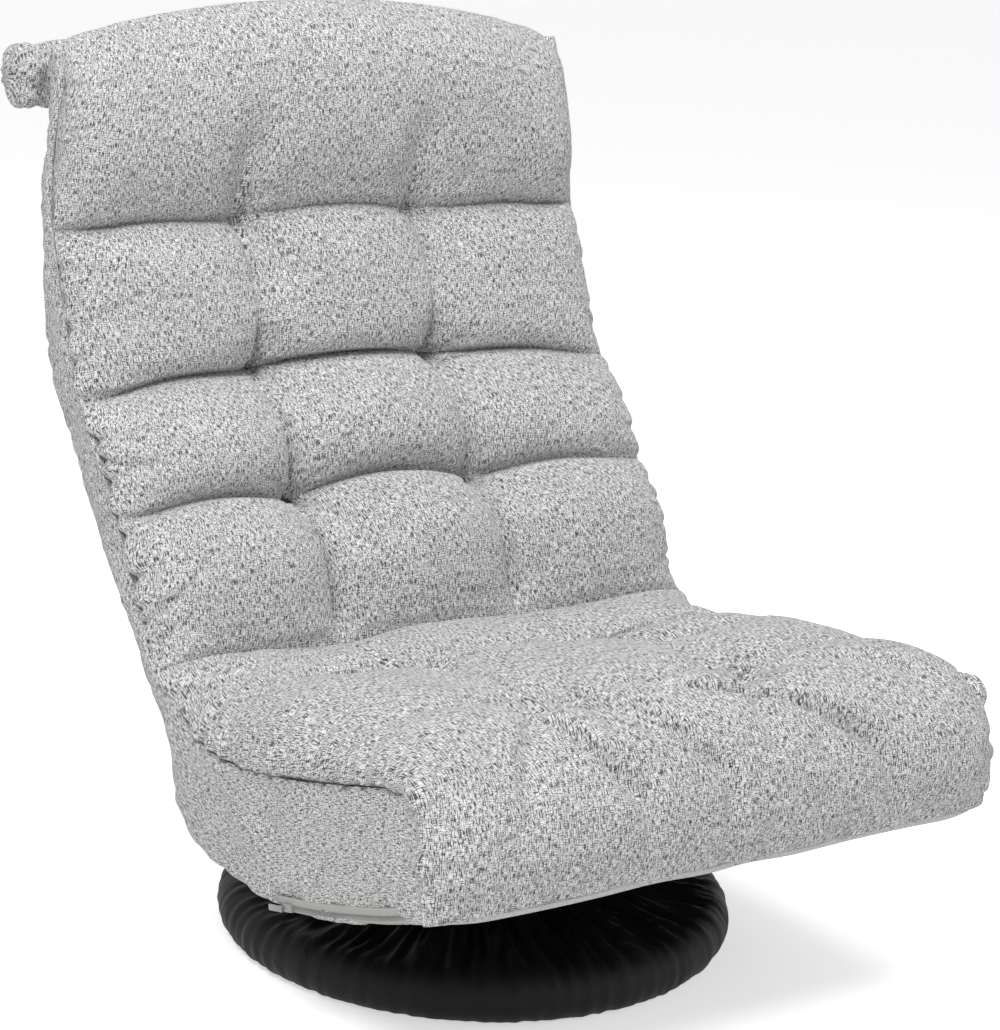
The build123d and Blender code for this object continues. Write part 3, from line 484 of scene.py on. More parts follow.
# folds as places (across, along) on the cloth, half width and depth, all in mm
FOLDS = [
    ([(-32, 925), (10, 958), (61, 972), (93, 987), (117, 1014), (146, 1040), (160, 1070),
      (172, 1096)], 8, 7),
    ([(-150, 930), (-141, 960), (-125, 990), (-107, 1022), (-92, 1045), (-84, 1080)], 8, 6),
    ([(-93, 905), (-62, 950), (-45, 985), (-30, 1015), (-8, 1045), (-4, 1085)], 8, 6),
    ([(-93, 905), (-82, 940), (-66, 978), (-60, 1010)], 7, 4),
    ([(93, 905), (62, 960), (48, 1000), (44, 1030)], 8, 3.5),
    ([(-93, 905), (-150, 960), (-186, 1010), (-200, 1050)], 10, 4),
    ([(93, 905), (150, 935), (205, 975), (225, 1010)], 10, 4),
    ([(70, 716), (100, 760), (150, 776), (215, 768)], 20, 10),
    ([(93, 704), (120, 790), (165, 790), (220, 800)], 7, 4),
    ([(-93, 704), (-140, 740), (-190, 752)], 11, 4),
    ([(-93, 704), (-60, 760), (-30, 790)], 10, 3),
    ([(-93, 704), (-140, 720), (-180, 700)], 9, 4),
    ([(93, 704), (60, 672), (46, 645)], 9, 4),
    ([(-93, 704), (-112, 672), (-122, 650)], 9, 4),
    ([(-93, 232), (-97, 210), (-92, 188), (-86, 160)], 20, 9),
    ([(93, 232), (88, 210), (92, 188), (98, 155)], 20, 9),
    ([(-93, 484), (-70, 520), (-58, 556)], 9, 5),
    ([(-93, 382), (-74, 410), (-64, 440)], 8, 4),
    ([(93, 382), (112, 404), (120, 430)], 8, 4),
    ([(-93, 243), (-72, 268), (-66, 300)], 9, 6),
    ([(93, 484), (112, 508), (124, 530)], 8, 4),
    ([(-120, 628), (-180, 640), (-235, 668)], 10, 5),
    ([(-130, 640), (-190, 668), (-235, 700)], 8, 4),
    ([(120, 628), (180, 632), (235, 645)], 9, 3),
]


def folded(u, v):
    """Depth in metres that the folds draw the cloth in, over a grid of cloth places."""
    U, V = np.meshgrid(u, v)
    depth = np.zeros_like(U)
    # the folds go deeper on the seat than on the back
    deeper = np.interp(v, [0.64, 0.70], [1.3, 2.3])[:, None]
    for path, half_width, deep in FOLDS:
        knots = np.arange(len(path))
        at = np.linspace(0, len(path) - 1, 60)
        line = spline(knots, np.array(path) / 1000.0, at)
        grown = np.sin(np.linspace(0.12, 1, 60) * math.pi) ** 0.6
        nearest = np.zeros_like(U)
        for (a, b), size in zip(line, grown):
            near = np.exp(-((U - a) ** 2 + (V - b) ** 2) / (half_width / 1000) ** 2)
            nearest = np.maximum(nearest, near * size)
        depth = np.maximum(depth, nearest * deep * deeper / 1000)
    return depth


# tufts as (row, dimple depth, dimple radius, crease depth) in mm
DIMPLES = [
    ("seam1", 0, 12, 1.5), ("seam2", 1, 14, 2.5), ("seam3", 1, 15, 2.5),
    ("crease", 0, 14, 2.0), ("seam5", 18, 27, 8.0), ("seam6", 16, 26, 8.5),
]


def dimpled(u, v):
    """Depth in metres of the pits at the tufts and of the short creases that fan out of them."""
    U, V = np.meshgrid(u, v)
    depth = np.zeros_like(U)
    for number, (name, deep, radius, crease) in enumerate(DIMPLES):
        for side in (-1, 1):
            du, dv = U - side * TUFT_X, V - along[names.index(name)]
            far = np.hypot(du, dv)
            angle = np.arctan2(dv, du)
            pit = deep / 1000 * np.exp(-((far / (radius / 1000)) ** 2))
            ray = abs(np.cos(3 * angle + number * 1.3 + side * 0.7 + 0.8 * np.sin(2 * angle))) ** 5
            share = far / (radius / 1000)
            fan = crease / 1000 * ray * share * np.exp(1 - share) * (share < 6)
            depth += pit + fan * 0.8
    return depth


# short tucks across the long edges: how far apart, and how deep, along the cloth in mm
TUCK_PITCH_AT = [0, 250, 600, 720, 1200]
TUCK_PITCH = [34, 30, 25, 19, 19]
TUCK_DEPTH_AT = [0, 180, 243, 300, 382, 560, 640, 704, 900, 1000, 1040, 1120]
TUCK_DEPTH = [0.0, 0.3, 1.5, 3.5, 5.2, 5.6, 5.0, 4.2, 4.6, 4.4, 4.0, 3.0]


def tucked(u, v):
    """Tucks across both long edges: how far the cloth moves out, and how far it laps the panel."""
    U, V = np.meshgrid(u, v)
    border = abs(u).max() - abs(U)
    out, lap = np.zeros_like(U), np.zeros_like(U)
    draw = np.random.default_rng(17)
    for side, share in ((-1, 1.0), (1, 0.6)):
        mine = np.sign(U) == side
        places = [0.150]
        while places[-1] < v[-1] - 0.012:
            pitch = np.interp(places[-1], np.array(TUCK_PITCH_AT) / 1000, TUCK_PITCH) / 1000
            places.append(places[-1] + pitch * draw.uniform(0.6, 1.4))
        for at, following in zip(places, places[1:]):
            depth = share * np.interp(at, np.array(TUCK_DEPTH_AT) / 1000, TUCK_DEPTH) / 1000
            size = depth * draw.uniform(0.55, 1.15)
            length = draw.uniform(0.045, 0.100)
            width = draw.uniform(0.0038, 0.0055)
            down = V - at - draw.uniform(-0.32, 0.32) * border - draw.uniform(-3, 3) * border**2
            fade = np.clip(1 - border / length, 0, 1) ** 0.7
            crease = np.exp(-((down / width) ** 2))
            lip = 0.6 * np.exp(-(((down + 1.7 * width) / (1.4 * width)) ** 2))
            out += mine * size * fade * (lip - crease)
            t = (V - at) / (following - at)
            lobe = np.clip(4 * t * (1 - t), 0, 1) ** 0.6 * depth
            lobe = lobe * min(1.2, (following - at) / 0.026)
            lap = np.where(mine & (t >= 0) & (t < 1), lobe, lap)
    return out, eased(lap, 4, 0) * np.exp(-(((border - 0.012) / 0.015) ** 2))


def ruffled(u, v):
    """Ripples at the hem, in metres outwards."""
    U, V = np.meshgrid(u, v)
    near_hem = np.clip((V - (v[-1] - 0.075)) / 0.075, 0, 1) ** 1.4
    phase = 2 * math.pi * U / 0.052 + 1.9 * np.sin(2 * math.pi * U / 0.19 + 0.6)
    return 0.0030 * near_hem * (abs(np.sin(phase / 2)) ** 0.7 - 0.7)


def woven(points, row_breaks, column_breaks):
    """Cloth coordinates that follow the length of the surface, cell by cell of the quilt."""
    places = []
    for axis, breaks in ((1, column_breaks), (0, row_breaks)):
        step = np.moveaxis(np.linalg.norm(np.diff(points, axis=axis), axis=2), axis, 0)
        length = np.concatenate([step[:1] * 0, np.cumsum(step, axis=0)])
        place = np.zeros_like(length)
        begun = 0.0
        for a, b in zip(breaks, breaks[1:]):
            part = length[a : b + 1] - length[a]
            whole = float(np.median(part[-1]))
            place[a : b + 1] = begun + part / part[-1] * whole
            begun += whole
        places.append(eased(np.moveaxis(place, 0, axis), 60, 1 - axis))
    return np.dstack([places[0], -places[1]])


grid = finer(grid)
u_line, v_line = (
    np.interp(np.arange(2 * len(a) - 1) / 2, np.arange(len(a)), a) for a in (u_line, v_line)
)
rows, columns = grid.shape[:2]
sewn = [2 * k for k in sewn]
held_edges = from_ends(columns)[None, :] / 3
tuft_columns = [index_at(u_line, at) for at in TUFT_COLUMNS]
uv = woven(grid, [0, *sewn, rows - 1], [0, *tuft_columns, columns - 1])
tuck_out, tuck_lap = tucked(u_line, v_line)
push = ruffled(u_line, v_line) + tuck_out - folded(u_line, v_line) - dimpled(u_line, v_line)
push = push * np.clip(held_edges, 0, 1)
push[0], push[-1] = 0, 0
grid = grid + outward(grid) * push[:, :, None]


# Materials, all procedural. Cloth coordinates are in metres along and across each panel.

def nodes_for(name):
    mat = bpy.data.materials.new(name)
    mat.use_nodes = True
    tree = mat.node_tree
    return mat, tree, tree.nodes["Principled BSDF"]


def add(tree, kind, **settings):
    node = tree.nodes.new(kind)
    for key, value in settings.items():
        setattr(node, key, value)
    return node


def put(node, **values):
    """Sets a node's inputs. An underscore stands for a space in their names."""
    for key, value in values.items():
        node.inputs[key.replace("_", " ")].default_value = value


def link(tree, a, b):
    tree.links.new(a, b)


def noise(tree, place, scale, detail=2.0, rough=0.5, distort=0.0):
    """Noise over a place whose three axes are each scaled."""
    stretch = add(tree, "ShaderNodeMapping")
    put(stretch, Scale=scale)
    link(tree, place, stretch.inputs["Vector"])
    node = add(tree, "ShaderNodeTexNoise")
    put(node, Scale=1.0, Detail=detail, Roughness=rough, Distortion=distort)
    link(tree, stretch.outputs["Vector"], node.inputs["Vector"])
    return node.outputs["Fac"]


def bands(tree, place, direction, scale, distort, detail):
    node = add(tree, "ShaderNodeTexWave", bands_direction=direction)
    put(node, Scale=scale, Distortion=distort, Detail=detail)
    link(tree, place, node.inputs["Vector"])
    return node.outputs["Fac"]


def ramp(tree, fac, stops):
    node = add(tree, "ShaderNodeValToRGB")
    while len(node.color_ramp.elements) < len(stops):
        node.color_ramp.elements.new(0.5)
    for element, (at, grey) in zip(node.color_ramp.elements, stops):
        element.position = at
        element.color = (grey, grey, grey, 1) if not isinstance(grey, tuple) else (*grey, 1)
    link(tree, fac, node.inputs["Fac"])
    return node.outputs["Color"]


def maths(tree, operation, a, b=None, clamp=False):
    node = add(tree, "ShaderNodeMath", operation=operation, use_clamp=clamp)
    for socket, value in zip(node.inputs, (a, b)):
        if value is None:
            continue
        if isinstance(value, (int, float)):
            socket.default_value = value
        else:
            link(tree, value, socket)
    return node.outputs[0]


def mixed(tree, fac, a, b, blend="MIX"):
    node = add(tree, "ShaderNodeMix", data_type="RGBA", blend_type=blend)
    for socket, value in ((node.inputs[0], fac), (node.inputs[6], a), (node.inputs[7], b)):
        if isinstance(value, (int, float)):
            socket.default_value = value
        elif isinstance(value, tuple):
            socket.default_value = (*value, 1)
        else:
            link(tree, value, socket)
    return node.outputs[2]


def bump(tree, height, strength, distance, under=None):
    node = add(tree, "ShaderNodeBump")
    put(node, Strength=strength, Distance=distance)
    link(tree, height, node.inputs["Height"])
    if under is not None:
        link(tree, under, node.inputs["Normal"])
    return node.outputs["Normal"]


def cloth_uv(tree):
    node = add(tree, "ShaderNodeUVMap")
    node.uv_map = "cloth"
    return node.outputs["UV"]


def linen(name):
    """Heathered linen-look weave: slubby pale yarns with darker ones showing both ways."""
    mat, tree, shader = nodes_for(name)
    uv = cloth_uv(tree)
    weft = noise(tree, uv, (260, 1500, 1), 1.0)
    warp = noise(tree, uv, (1500, 160, 1), 1.0)
    patchy = noise(tree, uv, (70, 40, 1), 2.0, 0.6)
    lift = maths(tree, "MULTIPLY", maths(tree, "SUBTRACT", patchy, 0.5), 0.05)
    warp_stops = [(0.40, 1.0), (0.50, 0.90), (0.61, 0.14)]
    weft_stops = [(0.40, 1.0), (0.51, 0.92), (0.62, 0.20)]
    warp_tone = ramp(tree, maths(tree, "ADD", warp, lift), warp_stops)
    weft_tone = ramp(tree, maths(tree, "ADD", weft, lift), weft_stops)
    tone = ramp(tree, noise(tree, uv, (9, 14, 1), 3.0, 0.6), [(0.3, 0.85), (0.7, 0.94)])
    colour = mixed(tree, 1.0, warp_tone, weft_tone, "MULTIPLY")
    link(tree, mixed(tree, 1.0, colour, tone, "MULTIPLY"), shader.inputs["Base Color"])
    put(shader, Roughness=0.92, Specular_IOR_Level=0.25, Sheen_Weight=0.12, Sheen_Roughness=0.5)
    across, lengthwise = (bands(tree, uv, axis, 230, 1.2, 1.0) for axis in "XY")
    weave = maths(tree, "MULTIPLY", maths(tree, "MULTIPLY", across, lengthwise), 0.5)
    relief = maths(tree, "ADD", weave, maths(tree, "ADD", weft, warp))
    soft = bump(tree, noise(tree, uv, (40, 55, 1), 3.0, 0.55, 0.4), 0.35, 0.004)
    link(tree, bump(tree, relief, 0.45, 0.0006, soft), shader.inputs["Normal"])
    return mat


def nylon(name):
    """Thin black nylon with a low sheen and fine crinkles."""
    mat, tree, shader = nodes_for(name)
    uv = cloth_uv(tree)
    crinkle = noise(tree, uv, (60, 26, 1), 4.0, 0.6, 0.6)
    thread = noise(tree, uv, (1600, 1600, 1), 1.0)
    link(tree, ramp(tree, crinkle, [(0.3, 0.005), (0.75, 0.012)]), shader.inputs["Base Color"])
    link(tree, ramp(tree, crinkle, [(0.2, 0.52), (0.8, 0.70)]), shader.inputs["Roughness"])
    put(shader, Specular_IOR_Level=0.20)
    fine = bump(tree, crinkle, 0.5, 0.004)
    link(tree, bump(tree, thread, 0.12, 0.0003, fine), shader.inputs["Normal"])
    return mat


def felt(name, dark, pale, scale=900):
    """Nonwoven or webbing cloth with a fine mottled surface."""
    mat, tree, shader = nodes_for(name)
    place = add(tree, "ShaderNodeTexCoord").outputs["Object"]
    fine = noise(tree, place, (scale, scale, scale))
    link(tree, ramp(tree, fine, [(0.35, dark), (0.65, pale)]), shader.inputs["Base Color"])
    put(shader, Roughness=0.9)
    link(tree, bump(tree, fine, 0.3, 0.0005), shader.inputs["Normal"])
    return mat


def metal(name, low, high, metallic, rough):
    """Painted or plated steel, with a faint grain and worn variation in its gloss."""
    mat, tree, shader = nodes_for(name)
    place = add(tree, "ShaderNodeTexCoord").outputs["Object"]
    grain = noise(tree, place, (300, 40, 300), 3.0)
    patch = noise(tree, place, (30, 30, 30))
    gloss = ramp(tree, grain, [(0.3, rough - 0.08), (0.7, rough + 0.08)])
    link(tree, ramp(tree, patch, [(0.35, low), (0.7, high)]), shader.inputs["Base Color"])
    link(tree, gloss, shader.inputs["Roughness"])
    put(shader, Metallic=metallic)
    link(tree, bump(tree, grain, 0.08, 0.0003), shader.inputs["Normal"])
    return mat


def twill(name, dark, pale):
    """Woven zip tape with fine ribs along it."""
    mat, tree, shader = nodes_for(name)
    ribs = bands(tree, cloth_uv(tree), "DIAGONAL", 300, 0.6, 2.0)
    link(tree, ramp(tree, ribs, [(0.2, dark), (0.8, pale)]), shader.inputs["Base Color"])
    put(shader, Roughness=0.75)
    link(tree, bump(tree, ribs, 0.35, 0.0004), shader.inputs["Normal"])
    return mat


M_LINEN = linen("linen")
M_NYLON = nylon("nylon")
M_DUST = felt("dust_cloth", 0.060, 0.105)
M_WEB = felt("webbing", 0.040, 0.085, 500)
M_FOAM = felt("foam", (0.66, 0.62, 0.50), (0.78, 0.74, 0.62), 400)
M_PAINT = metal("black_paint", 0.020, 0.032, 0.0, 0.42)
M_ZINC = metal("zinc_steel", 0.42, 0.56, 1.0, 0.38)
M_TAPE = twill("tape", (0.36, 0.35, 0.33), (0.50, 0.49, 0.46))
M_BAND = felt("pale_band", 0.42, 0.66, 700)
M_TEETH = metal("zip_metal", 0.26, 0.34, 0.0, 0.35)
CAD_FINISH = {
    "frame_paint": M_PAINT, "zinc_steel": M_ZINC, "foam": M_FOAM, "webbing": M_WEB,
    "upholstery": M_LINEN, "base_cloth": M_NYLON, "dust_cloth": M_DUST,
    "zip_tape": M_TAPE, "zip_metal": M_TEETH,
}
for entry in frame["record"]["subparts"]:
    held = nodes[entry["node"]]
    held.data.materials.clear()
    held.data.materials.append(CAD_FINISH[entry["material_slot"]])


def finish_piece(obj, material):
    obj.data.materials.append(material)
    return obj


# Pads cut from the quilted front along its sewn lines, each closed with its own back

K_line = spline(along, crest, v_line)
T_line = spline(along, tuft, v_line)
E_line = spline(along, seam, v_line)
tangent = np.gradient(K_line, axis=0)
normal = unit(np.column_stack([tangent[:, 1], -tangent[:, 0]]))
normal *= np.sign(np.sum(normal * (E_line - K_line), axis=1))[:, None]
# how deep behind the crest line the pads' flat backs lie
PAD_DEEPEST, BELOW_TUFT = 0.060, 0.016
back_depth = np.minimum(np.sum((T_line - K_line) * normal, axis=1), PAD_DEEPEST) + BELOW_TUFT
# the puffs between the tucks lap over the side panels
LAP_BACK, LAP_OUT = 0.9, 0.8
lap = tuck_lap * np.clip(held_edges, 0, 1)
grid[:, :, 1:] += LAP_BACK * lap[:, :, None] * normal[:, None, :]
grid[:, :, 0] += LAP_OUT * lap * np.sign(u_line)
reach = abs(u_line) / abs(u_line).max()
drop = np.clip((reach - 0.80) / 0.20, 0, 1)
deep = (K_line + normal * back_depth[:, None])[:, None]
low = (E_line + normal * 0.002)[:, None]
back_grid = np.zeros_like(grid)
back_grid[:, :, 0] = np.clip(grid[:, :, 0], -HALF + 0.004, HALF - 0.004)
back_grid[:, :, 1:] = deep + (low - deep) * drop[:, None]


def pad(name, k0, k1, replaced):
    """Closed pad between two rows of the quilted front."""
    part = slice(k0, k1 + 1)
    n, c = k1 - k0 + 1, columns
    offset = n * c
    faces = grid_faces(n, c, True) + shifted(grid_faces(n, c), offset)
    rim = list(range(c))
    rim += [r * c + c - 1 for r in range(1, n)]
    rim += [(n - 1) * c + i for i in range(c - 2, -1, -1)]
    rim += [r * c for r in range(n - 2, 0, -1)]
    for i, j in zip(rim, rim[1:] + rim[:1]):
        faces.append((i, j, j + offset, i + offset))
    obj = new_mesh(name, np.stack([grid[part], back_grid[part]]), faces, np.stack([uv[part]] * 2))
    finish_piece(obj, M_LINEN)
    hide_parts(*replaced)
    return obj


k = dict(zip(ROW_NAMES, sewn))
head_pad = pad("head_pad", 0, k["seam1"], ["head_pillow", "head_foam"])
neck_pad = pad("neck_pad", k["seam1"], k["seam2"], ["neck_pads"])
back_pad = pad("back_pad", k["seam2"], k["crease"], ["back_topper", "back_foam"])
seat_pad = pad("seat_pad", k["crease"], rows - 1, ["seat_topper", "seat_foam"])


def world(pair):
    return (0.0, pair[0], pair[1])


HINGE_BLEND = dict(start=world(on_back(0, 0.000)), end=world(on_back(0, 0.090)))


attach(head_pad, "head")
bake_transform(neck_pad)
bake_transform(back_pad)
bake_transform(seat_pad)


# Covers: sides and rear, one skin over each hinge

def ripples(p, q, scale, seed, count=9):
    """Gentle random waves over two coordinates in metres, about -1 to 1."""
    draw = np.random.default_rng(seed)
    total = np.zeros_like(p)
    for _ in range(count):
        angle = draw.uniform(0, math.pi)
        size = draw.uniform(0.6, 1.6) / scale
        phase = draw.uniform(0, 2 * math.pi)
        total += np.sin(2 * math.pi * size * (p * math.cos(angle) + q * math.sin(angle)) + phase)
    return total / math.sqrt(count)


def back_pair(height, rear):
    """Side seam and rear of the back's cover, at a height of the back's frame."""
    seam_depth = 0.0044 + (height - 0.071) * (0.0162 / 0.178)
    return (on_back(-seam_depth, height), on_back(rear, height))


# where the two covers meet, as height and rear depth on the back's frame
COVERS_MEET = (0.213, 0.031)
LOW_PAIRS = [
    back_pair(*COVERS_MEET),
    back_pair(0.170, 0.030),
    back_pair(0.130, 0.0285),
    back_pair(0.100, 0.026),
    *[
        mm(*pair)
        for pair in [
            ((84, 251), (106, 228)),
            ((68, 243), (88, 206)),
            ((50, 230), (72, 186)),
            ((28, 216), (66, 158)),
            ((5, 209), (46, 130)),
            ((-22, 207), (8, 111)),
            ((-60, 210), (-40, 106.5)),
            ((-100, 217), (-90, 106.5)),
            ((-141, 226), (-135, 110.5)),
            ((-212, 245), (-205, 128.5)),
            ((-275, 262), (-275, 153)),
            ((-312, 267), (-334, 176)),
        ]
    ],
]
HIGH_PAIRS = [
    (on_head(0.000, 0.276), on_head(0.026, 0.274)),
    (on_head(-0.008, 0.240), on_head(0.029, 0.240)),
    (mm((296, 690))[0], on_head(0.029, 0.220)),
    (mm((297, 655))[0], on_head(0.029, 0.188)),
    (mm((292, 620))[0], on_head(0.029, 0.150)),
    (mm((286, 592))[0], on_head(0.029, 0.112)),
    (mm((274, 556))[0], on_head(0.029, 0.066)),
    (mm((259, 512))[0], mm((300, 482))[0]),
    (mm((246, 487))[0], mm((290, 457))[0]),
    (mm((232, 463))[0], mm((268, 430))[0]),
    (on_back(-0.0219, 0.290), on_back(0.027, 0.285)),
    (on_back(-0.0206, 0.249), on_back(0.030, 0.249)),
    back_pair(*COVERS_MEET),
]


# the covers narrow towards the top of the headrest, as the pillow does
COVER_HEIGHT = [0.60, 0.66, 0.72]
COVER_WIDTH = [1.0, 0.975, 0.945]
# half width over the covers, and the rounding of their rear corners
SIDE_X = 0.2765
COVER_CORNER = 0.016
COVER_STEP = 0.008
SIDE_LINES = 19
# how the cover turns in under the pads, as (across, depth)
TUCK_IN = [(-0.262, 0.004), (-0.270, 0.002), (-0.2755, 0.0005)]
CORNER_TURNS = (18, 36, 54, 72, 90)
SIDE_PUFF, REAR_PUFF = 0.0045, 0.004
COVER_CLOTH = 0.0018


def skin(name, pairs, seed, window=None):
    """Cloth skin down the sides and round the rear, through pairs of seam and rear points."""
    seam_pts = np.array([p[0] for p in pairs])
    rear_pts = np.array([p[1] for p in pairs])
    mids = (seam_pts + rear_pts) / 2
    knots = travelled(mids)
    n = int(round(knots[-1] / COVER_STEP)) + 1
    at = np.linspace(0, knots[-1], n)
    G, R = spline(knots, seam_pts, at), spline(knots, rear_pts, at)
    across_n = int(round(2 * (0.276 - COVER_CORNER) / COVER_STEP)) // 2 * 2 + 1
    depth_dir = unit(R - G)
    size = np.linalg.norm(R - G, axis=1)
    tangent = unit(np.gradient(R, axis=0))
    rearward = np.column_stack([-tangent[:, 1], tangent[:, 0]])
    rearward *= np.sign(np.sum(rearward * (R - G), axis=1))[:, None]

    # lines of the left side, each as across, place and cloth coordinate
    lines = []
    for x, deep in TUCK_IN:
        lines.append((x, G + depth_dir * deep, np.full(n, x + 0.262)))
    for share in np.linspace(0, 1, SIDE_LINES):
        place = G + (R - G) * share * (1 - COVER_CORNER / size[:, None])
        puff = SIDE_PUFF * math.sin(math.pi * share) ** 0.7
        lines.append((-SIDE_X - puff, place, size * share))
    for turn in CORNER_TURNS:
        c, s = cos_sin(turn)
        place = R - depth_dir * COVER_CORNER * (1 - s)
        x = -SIDE_X + COVER_CORNER * (1 - c)
        lines.append((x, place, size + COVER_CORNER * turn / 60))
    left = list(lines)
    for x in np.linspace(-SIDE_X + COVER_CORNER, SIDE_X - COVER_CORNER, across_n)[1:-1]:
        belly = REAR_PUFF * (1 - (x / 0.26) ** 2)
        lines.append((x, R + rearward * belly, size + 0.28 + x))
    for x, place, length in left[::-1]:
        lines.append((-x, place, 0.62 + size - length))
    m = len(lines)
    X = np.column_stack([np.full(n, line[0]) for line in lines])
    Y = np.column_stack([line[1][:, 0] for line in lines])
    Z = np.column_stack([line[1][:, 1] for line in lines])
    U = np.column_stack([line[2] for line in lines])
    V = np.broadcast_to(at[:, None], U.shape)
    X = X * np.interp(Z, COVER_HEIGHT, COVER_WIDTH)
    points = np.dstack([X, Y, Z])
    n_dir = unit(np.cross(np.gradient(points, axis=1), np.gradient(points, axis=0)))
    centre = np.array([0, *(mids.mean(0))])
    flip = np.sign(np.sum(n_dir * (points - centre), axis=2).mean())

    # slight waves, fading towards every edge
    wave = 0.0016 * ripples(U, V, 0.075, seed)
    wave = wave + 0.0009 * ripples(U * 0.5, V * 1.6, 0.028, seed + 1)
    edge = (from_ends(m)[None, :] - len(TUCK_IN)) / 3
    ends = from_ends(n)[:, None] / 3
    wave = wave * np.clip(edge, 0, 1) * np.clip(ends, 0, 1)
    points = points + n_dir * flip * wave[:, :, None]
    faces = grid_faces(n, m, flip < 0)
    if window is not None:
        flat = points.reshape(-1, 3)
        faces = [f for f in faces if not window(flat[list(f)].mean(0))]
    obj = new_mesh(name, points, faces, np.dstack([U, V]))
    finish_piece(obj, M_LINEN)
    return thickened(obj, COVER_CLOTH)


def belly_window(point):
    """True inside the opening that the dust cloth closes, and round the bracket."""
    x, back, up = point[0], point[1], point[2] - 0.106
    c, s = cos_sin(SEAT_LEAN)
    depth, height = back * c - up * s, back * s + up * c
    return height < 0.022 and abs(x) < 0.258 and -0.312 < depth < 0.002


cover_low = skin("cover_low", LOW_PAIRS, 11, belly_window)
cover_high = skin("cover_high", HIGH_PAIRS, 21)
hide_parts("seat_cover")
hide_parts("head_cover", "back_cover")
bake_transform(cover_low)
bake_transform(cover_high)


# Dust cloth under the seat, sagging between its stitched edges

DUST_WIDE, DUST_LONG = 0.524, 0.318
BRACKET_HOLE = (0.172, 0.100)


def make_dust():
    n, m = 50, 66
    y = np.linspace(0.002, -0.312, n)
    x = np.linspace(-DUST_WIDE / 2, DUST_WIDE / 2, m)
    knots = [-0.330, -0.229, -0.128, -0.019, 0.01]
    drop = [0.010, -0.009, -0.0185, -0.003, 0.002]
    line = spline(knots, np.array(drop), y)
    X, Y = np.meshgrid(x, y)
    sag_x = np.sin(np.pi * np.clip((X + DUST_WIDE / 2) / DUST_WIDE, 0, 1)) ** 0.5
    sag_y = np.sin(np.pi * np.clip((0.002 - Y) / 0.314, 0, 1)) ** 0.6
    Z = line[:, None] + 0.0012 - 0.0075 * sag_x * sag_y + 0.0012 * ripples(X, Y, 0.06, 31)
    points = np.dstack([X, *on_seat(Y, Z)])
    place = np.dstack([X, Y]).reshape(-1, 2)

    def hole(face):
        cx, cy = place[list(face)].mean(0)
        return abs(cx) < BRACKET_HOLE[0] / 2 and -0.098 < cy

    faces = [f for f in grid_faces(n, m, True) if not hole(f)]
    obj = new_mesh("dust_sheet", points, faces, place)
    finish_piece(obj, M_DUST)
    thickened(obj, 0.0009)
    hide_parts("dust_cover")
    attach(obj, "seat")


make_dust()


# Light band along the front hem, and the zip along the lower left edge

def strip(name, line, across, material, slot, thickness):
    """Ribbon between two rows of points, given as arrays of the same length."""
    share = np.linspace(0, 1, 5)[None, :, None]
    points = line[:, None, :] + (across - line)[:, None, :] * share
    n, m = points.shape[:2]
    width = float(np.linalg.norm(across[0] - line[0]))
    travel = np.broadcast_to(travelled(line)[:, None], (n, m))
    uvs = np.dstack([travel, np.broadcast_to(share[0, :, 0] * width, (n, m))])
    obj = new_mesh(name, points, grid_faces(n, m), uvs)
    finish_piece(obj, material)
    thickened(obj, thickness, 0)
    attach(obj, "seat")
    return obj


def make_hem_band():
    x = np.linspace(-0.262, 0.262, 220)
    wave = 0.0012 * np.sin(x / 0.021 + 1.4 * np.sin(x / 0.055))
    wave = wave + 0.0060 * np.clip((abs(x) - 0.225) / 0.037, 0, 1) ** 2
    top = np.column_stack([x, np.full_like(x, -0.3370) + wave * 0.5, 0.1765 + wave])
    low = np.column_stack([x, np.full_like(x, -0.3335) + wave * 0.5, 0.1705 + wave * 0.4])
    strip("hem_band", top, low, M_BAND, "upholstery", 0.0016)


BELLY_LINE = [(-322, 8.5), (-290, 0.5), (-229, -9), (-180, -14.8), (-128, -18.5)]


def zip_place(forward, turn, lift):
    """Point on the rounded lower edge at the chair's -X side, lift outside the cloth."""
    depth_line = np.array(BELLY_LINE, float) / 1000
    height = spline(depth_line[:, 0], depth_line[:, 1:], forward)[:, 0]
    a = math.radians(turn)
    x = -SIDE_X + COVER_CORNER - (COVER_CORNER + lift) * math.cos(a)
    z = height + COVER_CORNER - (COVER_CORNER + lift) * math.sin(a)
    return np.column_stack([np.full_like(z, x), *on_seat(forward, z)])


ZIP_FRONT, ZIP_END = -0.316, -0.136


def make_zip():
    y = np.linspace(ZIP_FRONT - 0.002, ZIP_END + 0.016, 90)
    edges = (zip_place(y, 2, 0.0012), zip_place(y, 27, 0.0015))
    upper = strip("zip_band_upper", *edges, M_TAPE, "zip_tape", 0.0008)
    edges = (zip_place(y, 31, 0.0015), zip_place(y, 56, 0.0012))
    strip("zip_band_lower", *edges, M_TAPE, "zip_tape", 0.0008)
    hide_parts("zip_tape")
    # teeth: small six-sided bars across the tapes, leaning to and fro
    verts, faces, uvs = [], [], []
    line = zip_place(np.linspace(ZIP_FRONT, ZIP_END, 150), 29, 0.0024)
    bar = tube_faces(2, 6)
    for number, centre in enumerate(line):
        lean = 0.0009 * (1 if number % 2 else -1)
        base = len(verts)
        for side in (-1, 1):
            for a in circle(6):
                p, q = 0.0004 * math.cos(a), 0.00045 * math.sin(a)
                shift = (p + side * lean, q, side * 0.0019)
                verts.append(tuple(centre + shift))
                uvs.append((number * 0.0013, side * 0.002))
        faces += shifted(bar, base)
    teeth = new_mesh("zip_teeth", verts, faces, uvs)
    finish_piece(teeth, M_TEETH)
    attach(teeth, "seat")
    make_slider(zip_place(np.array([ZIP_END]), 29, 0.0030)[0])


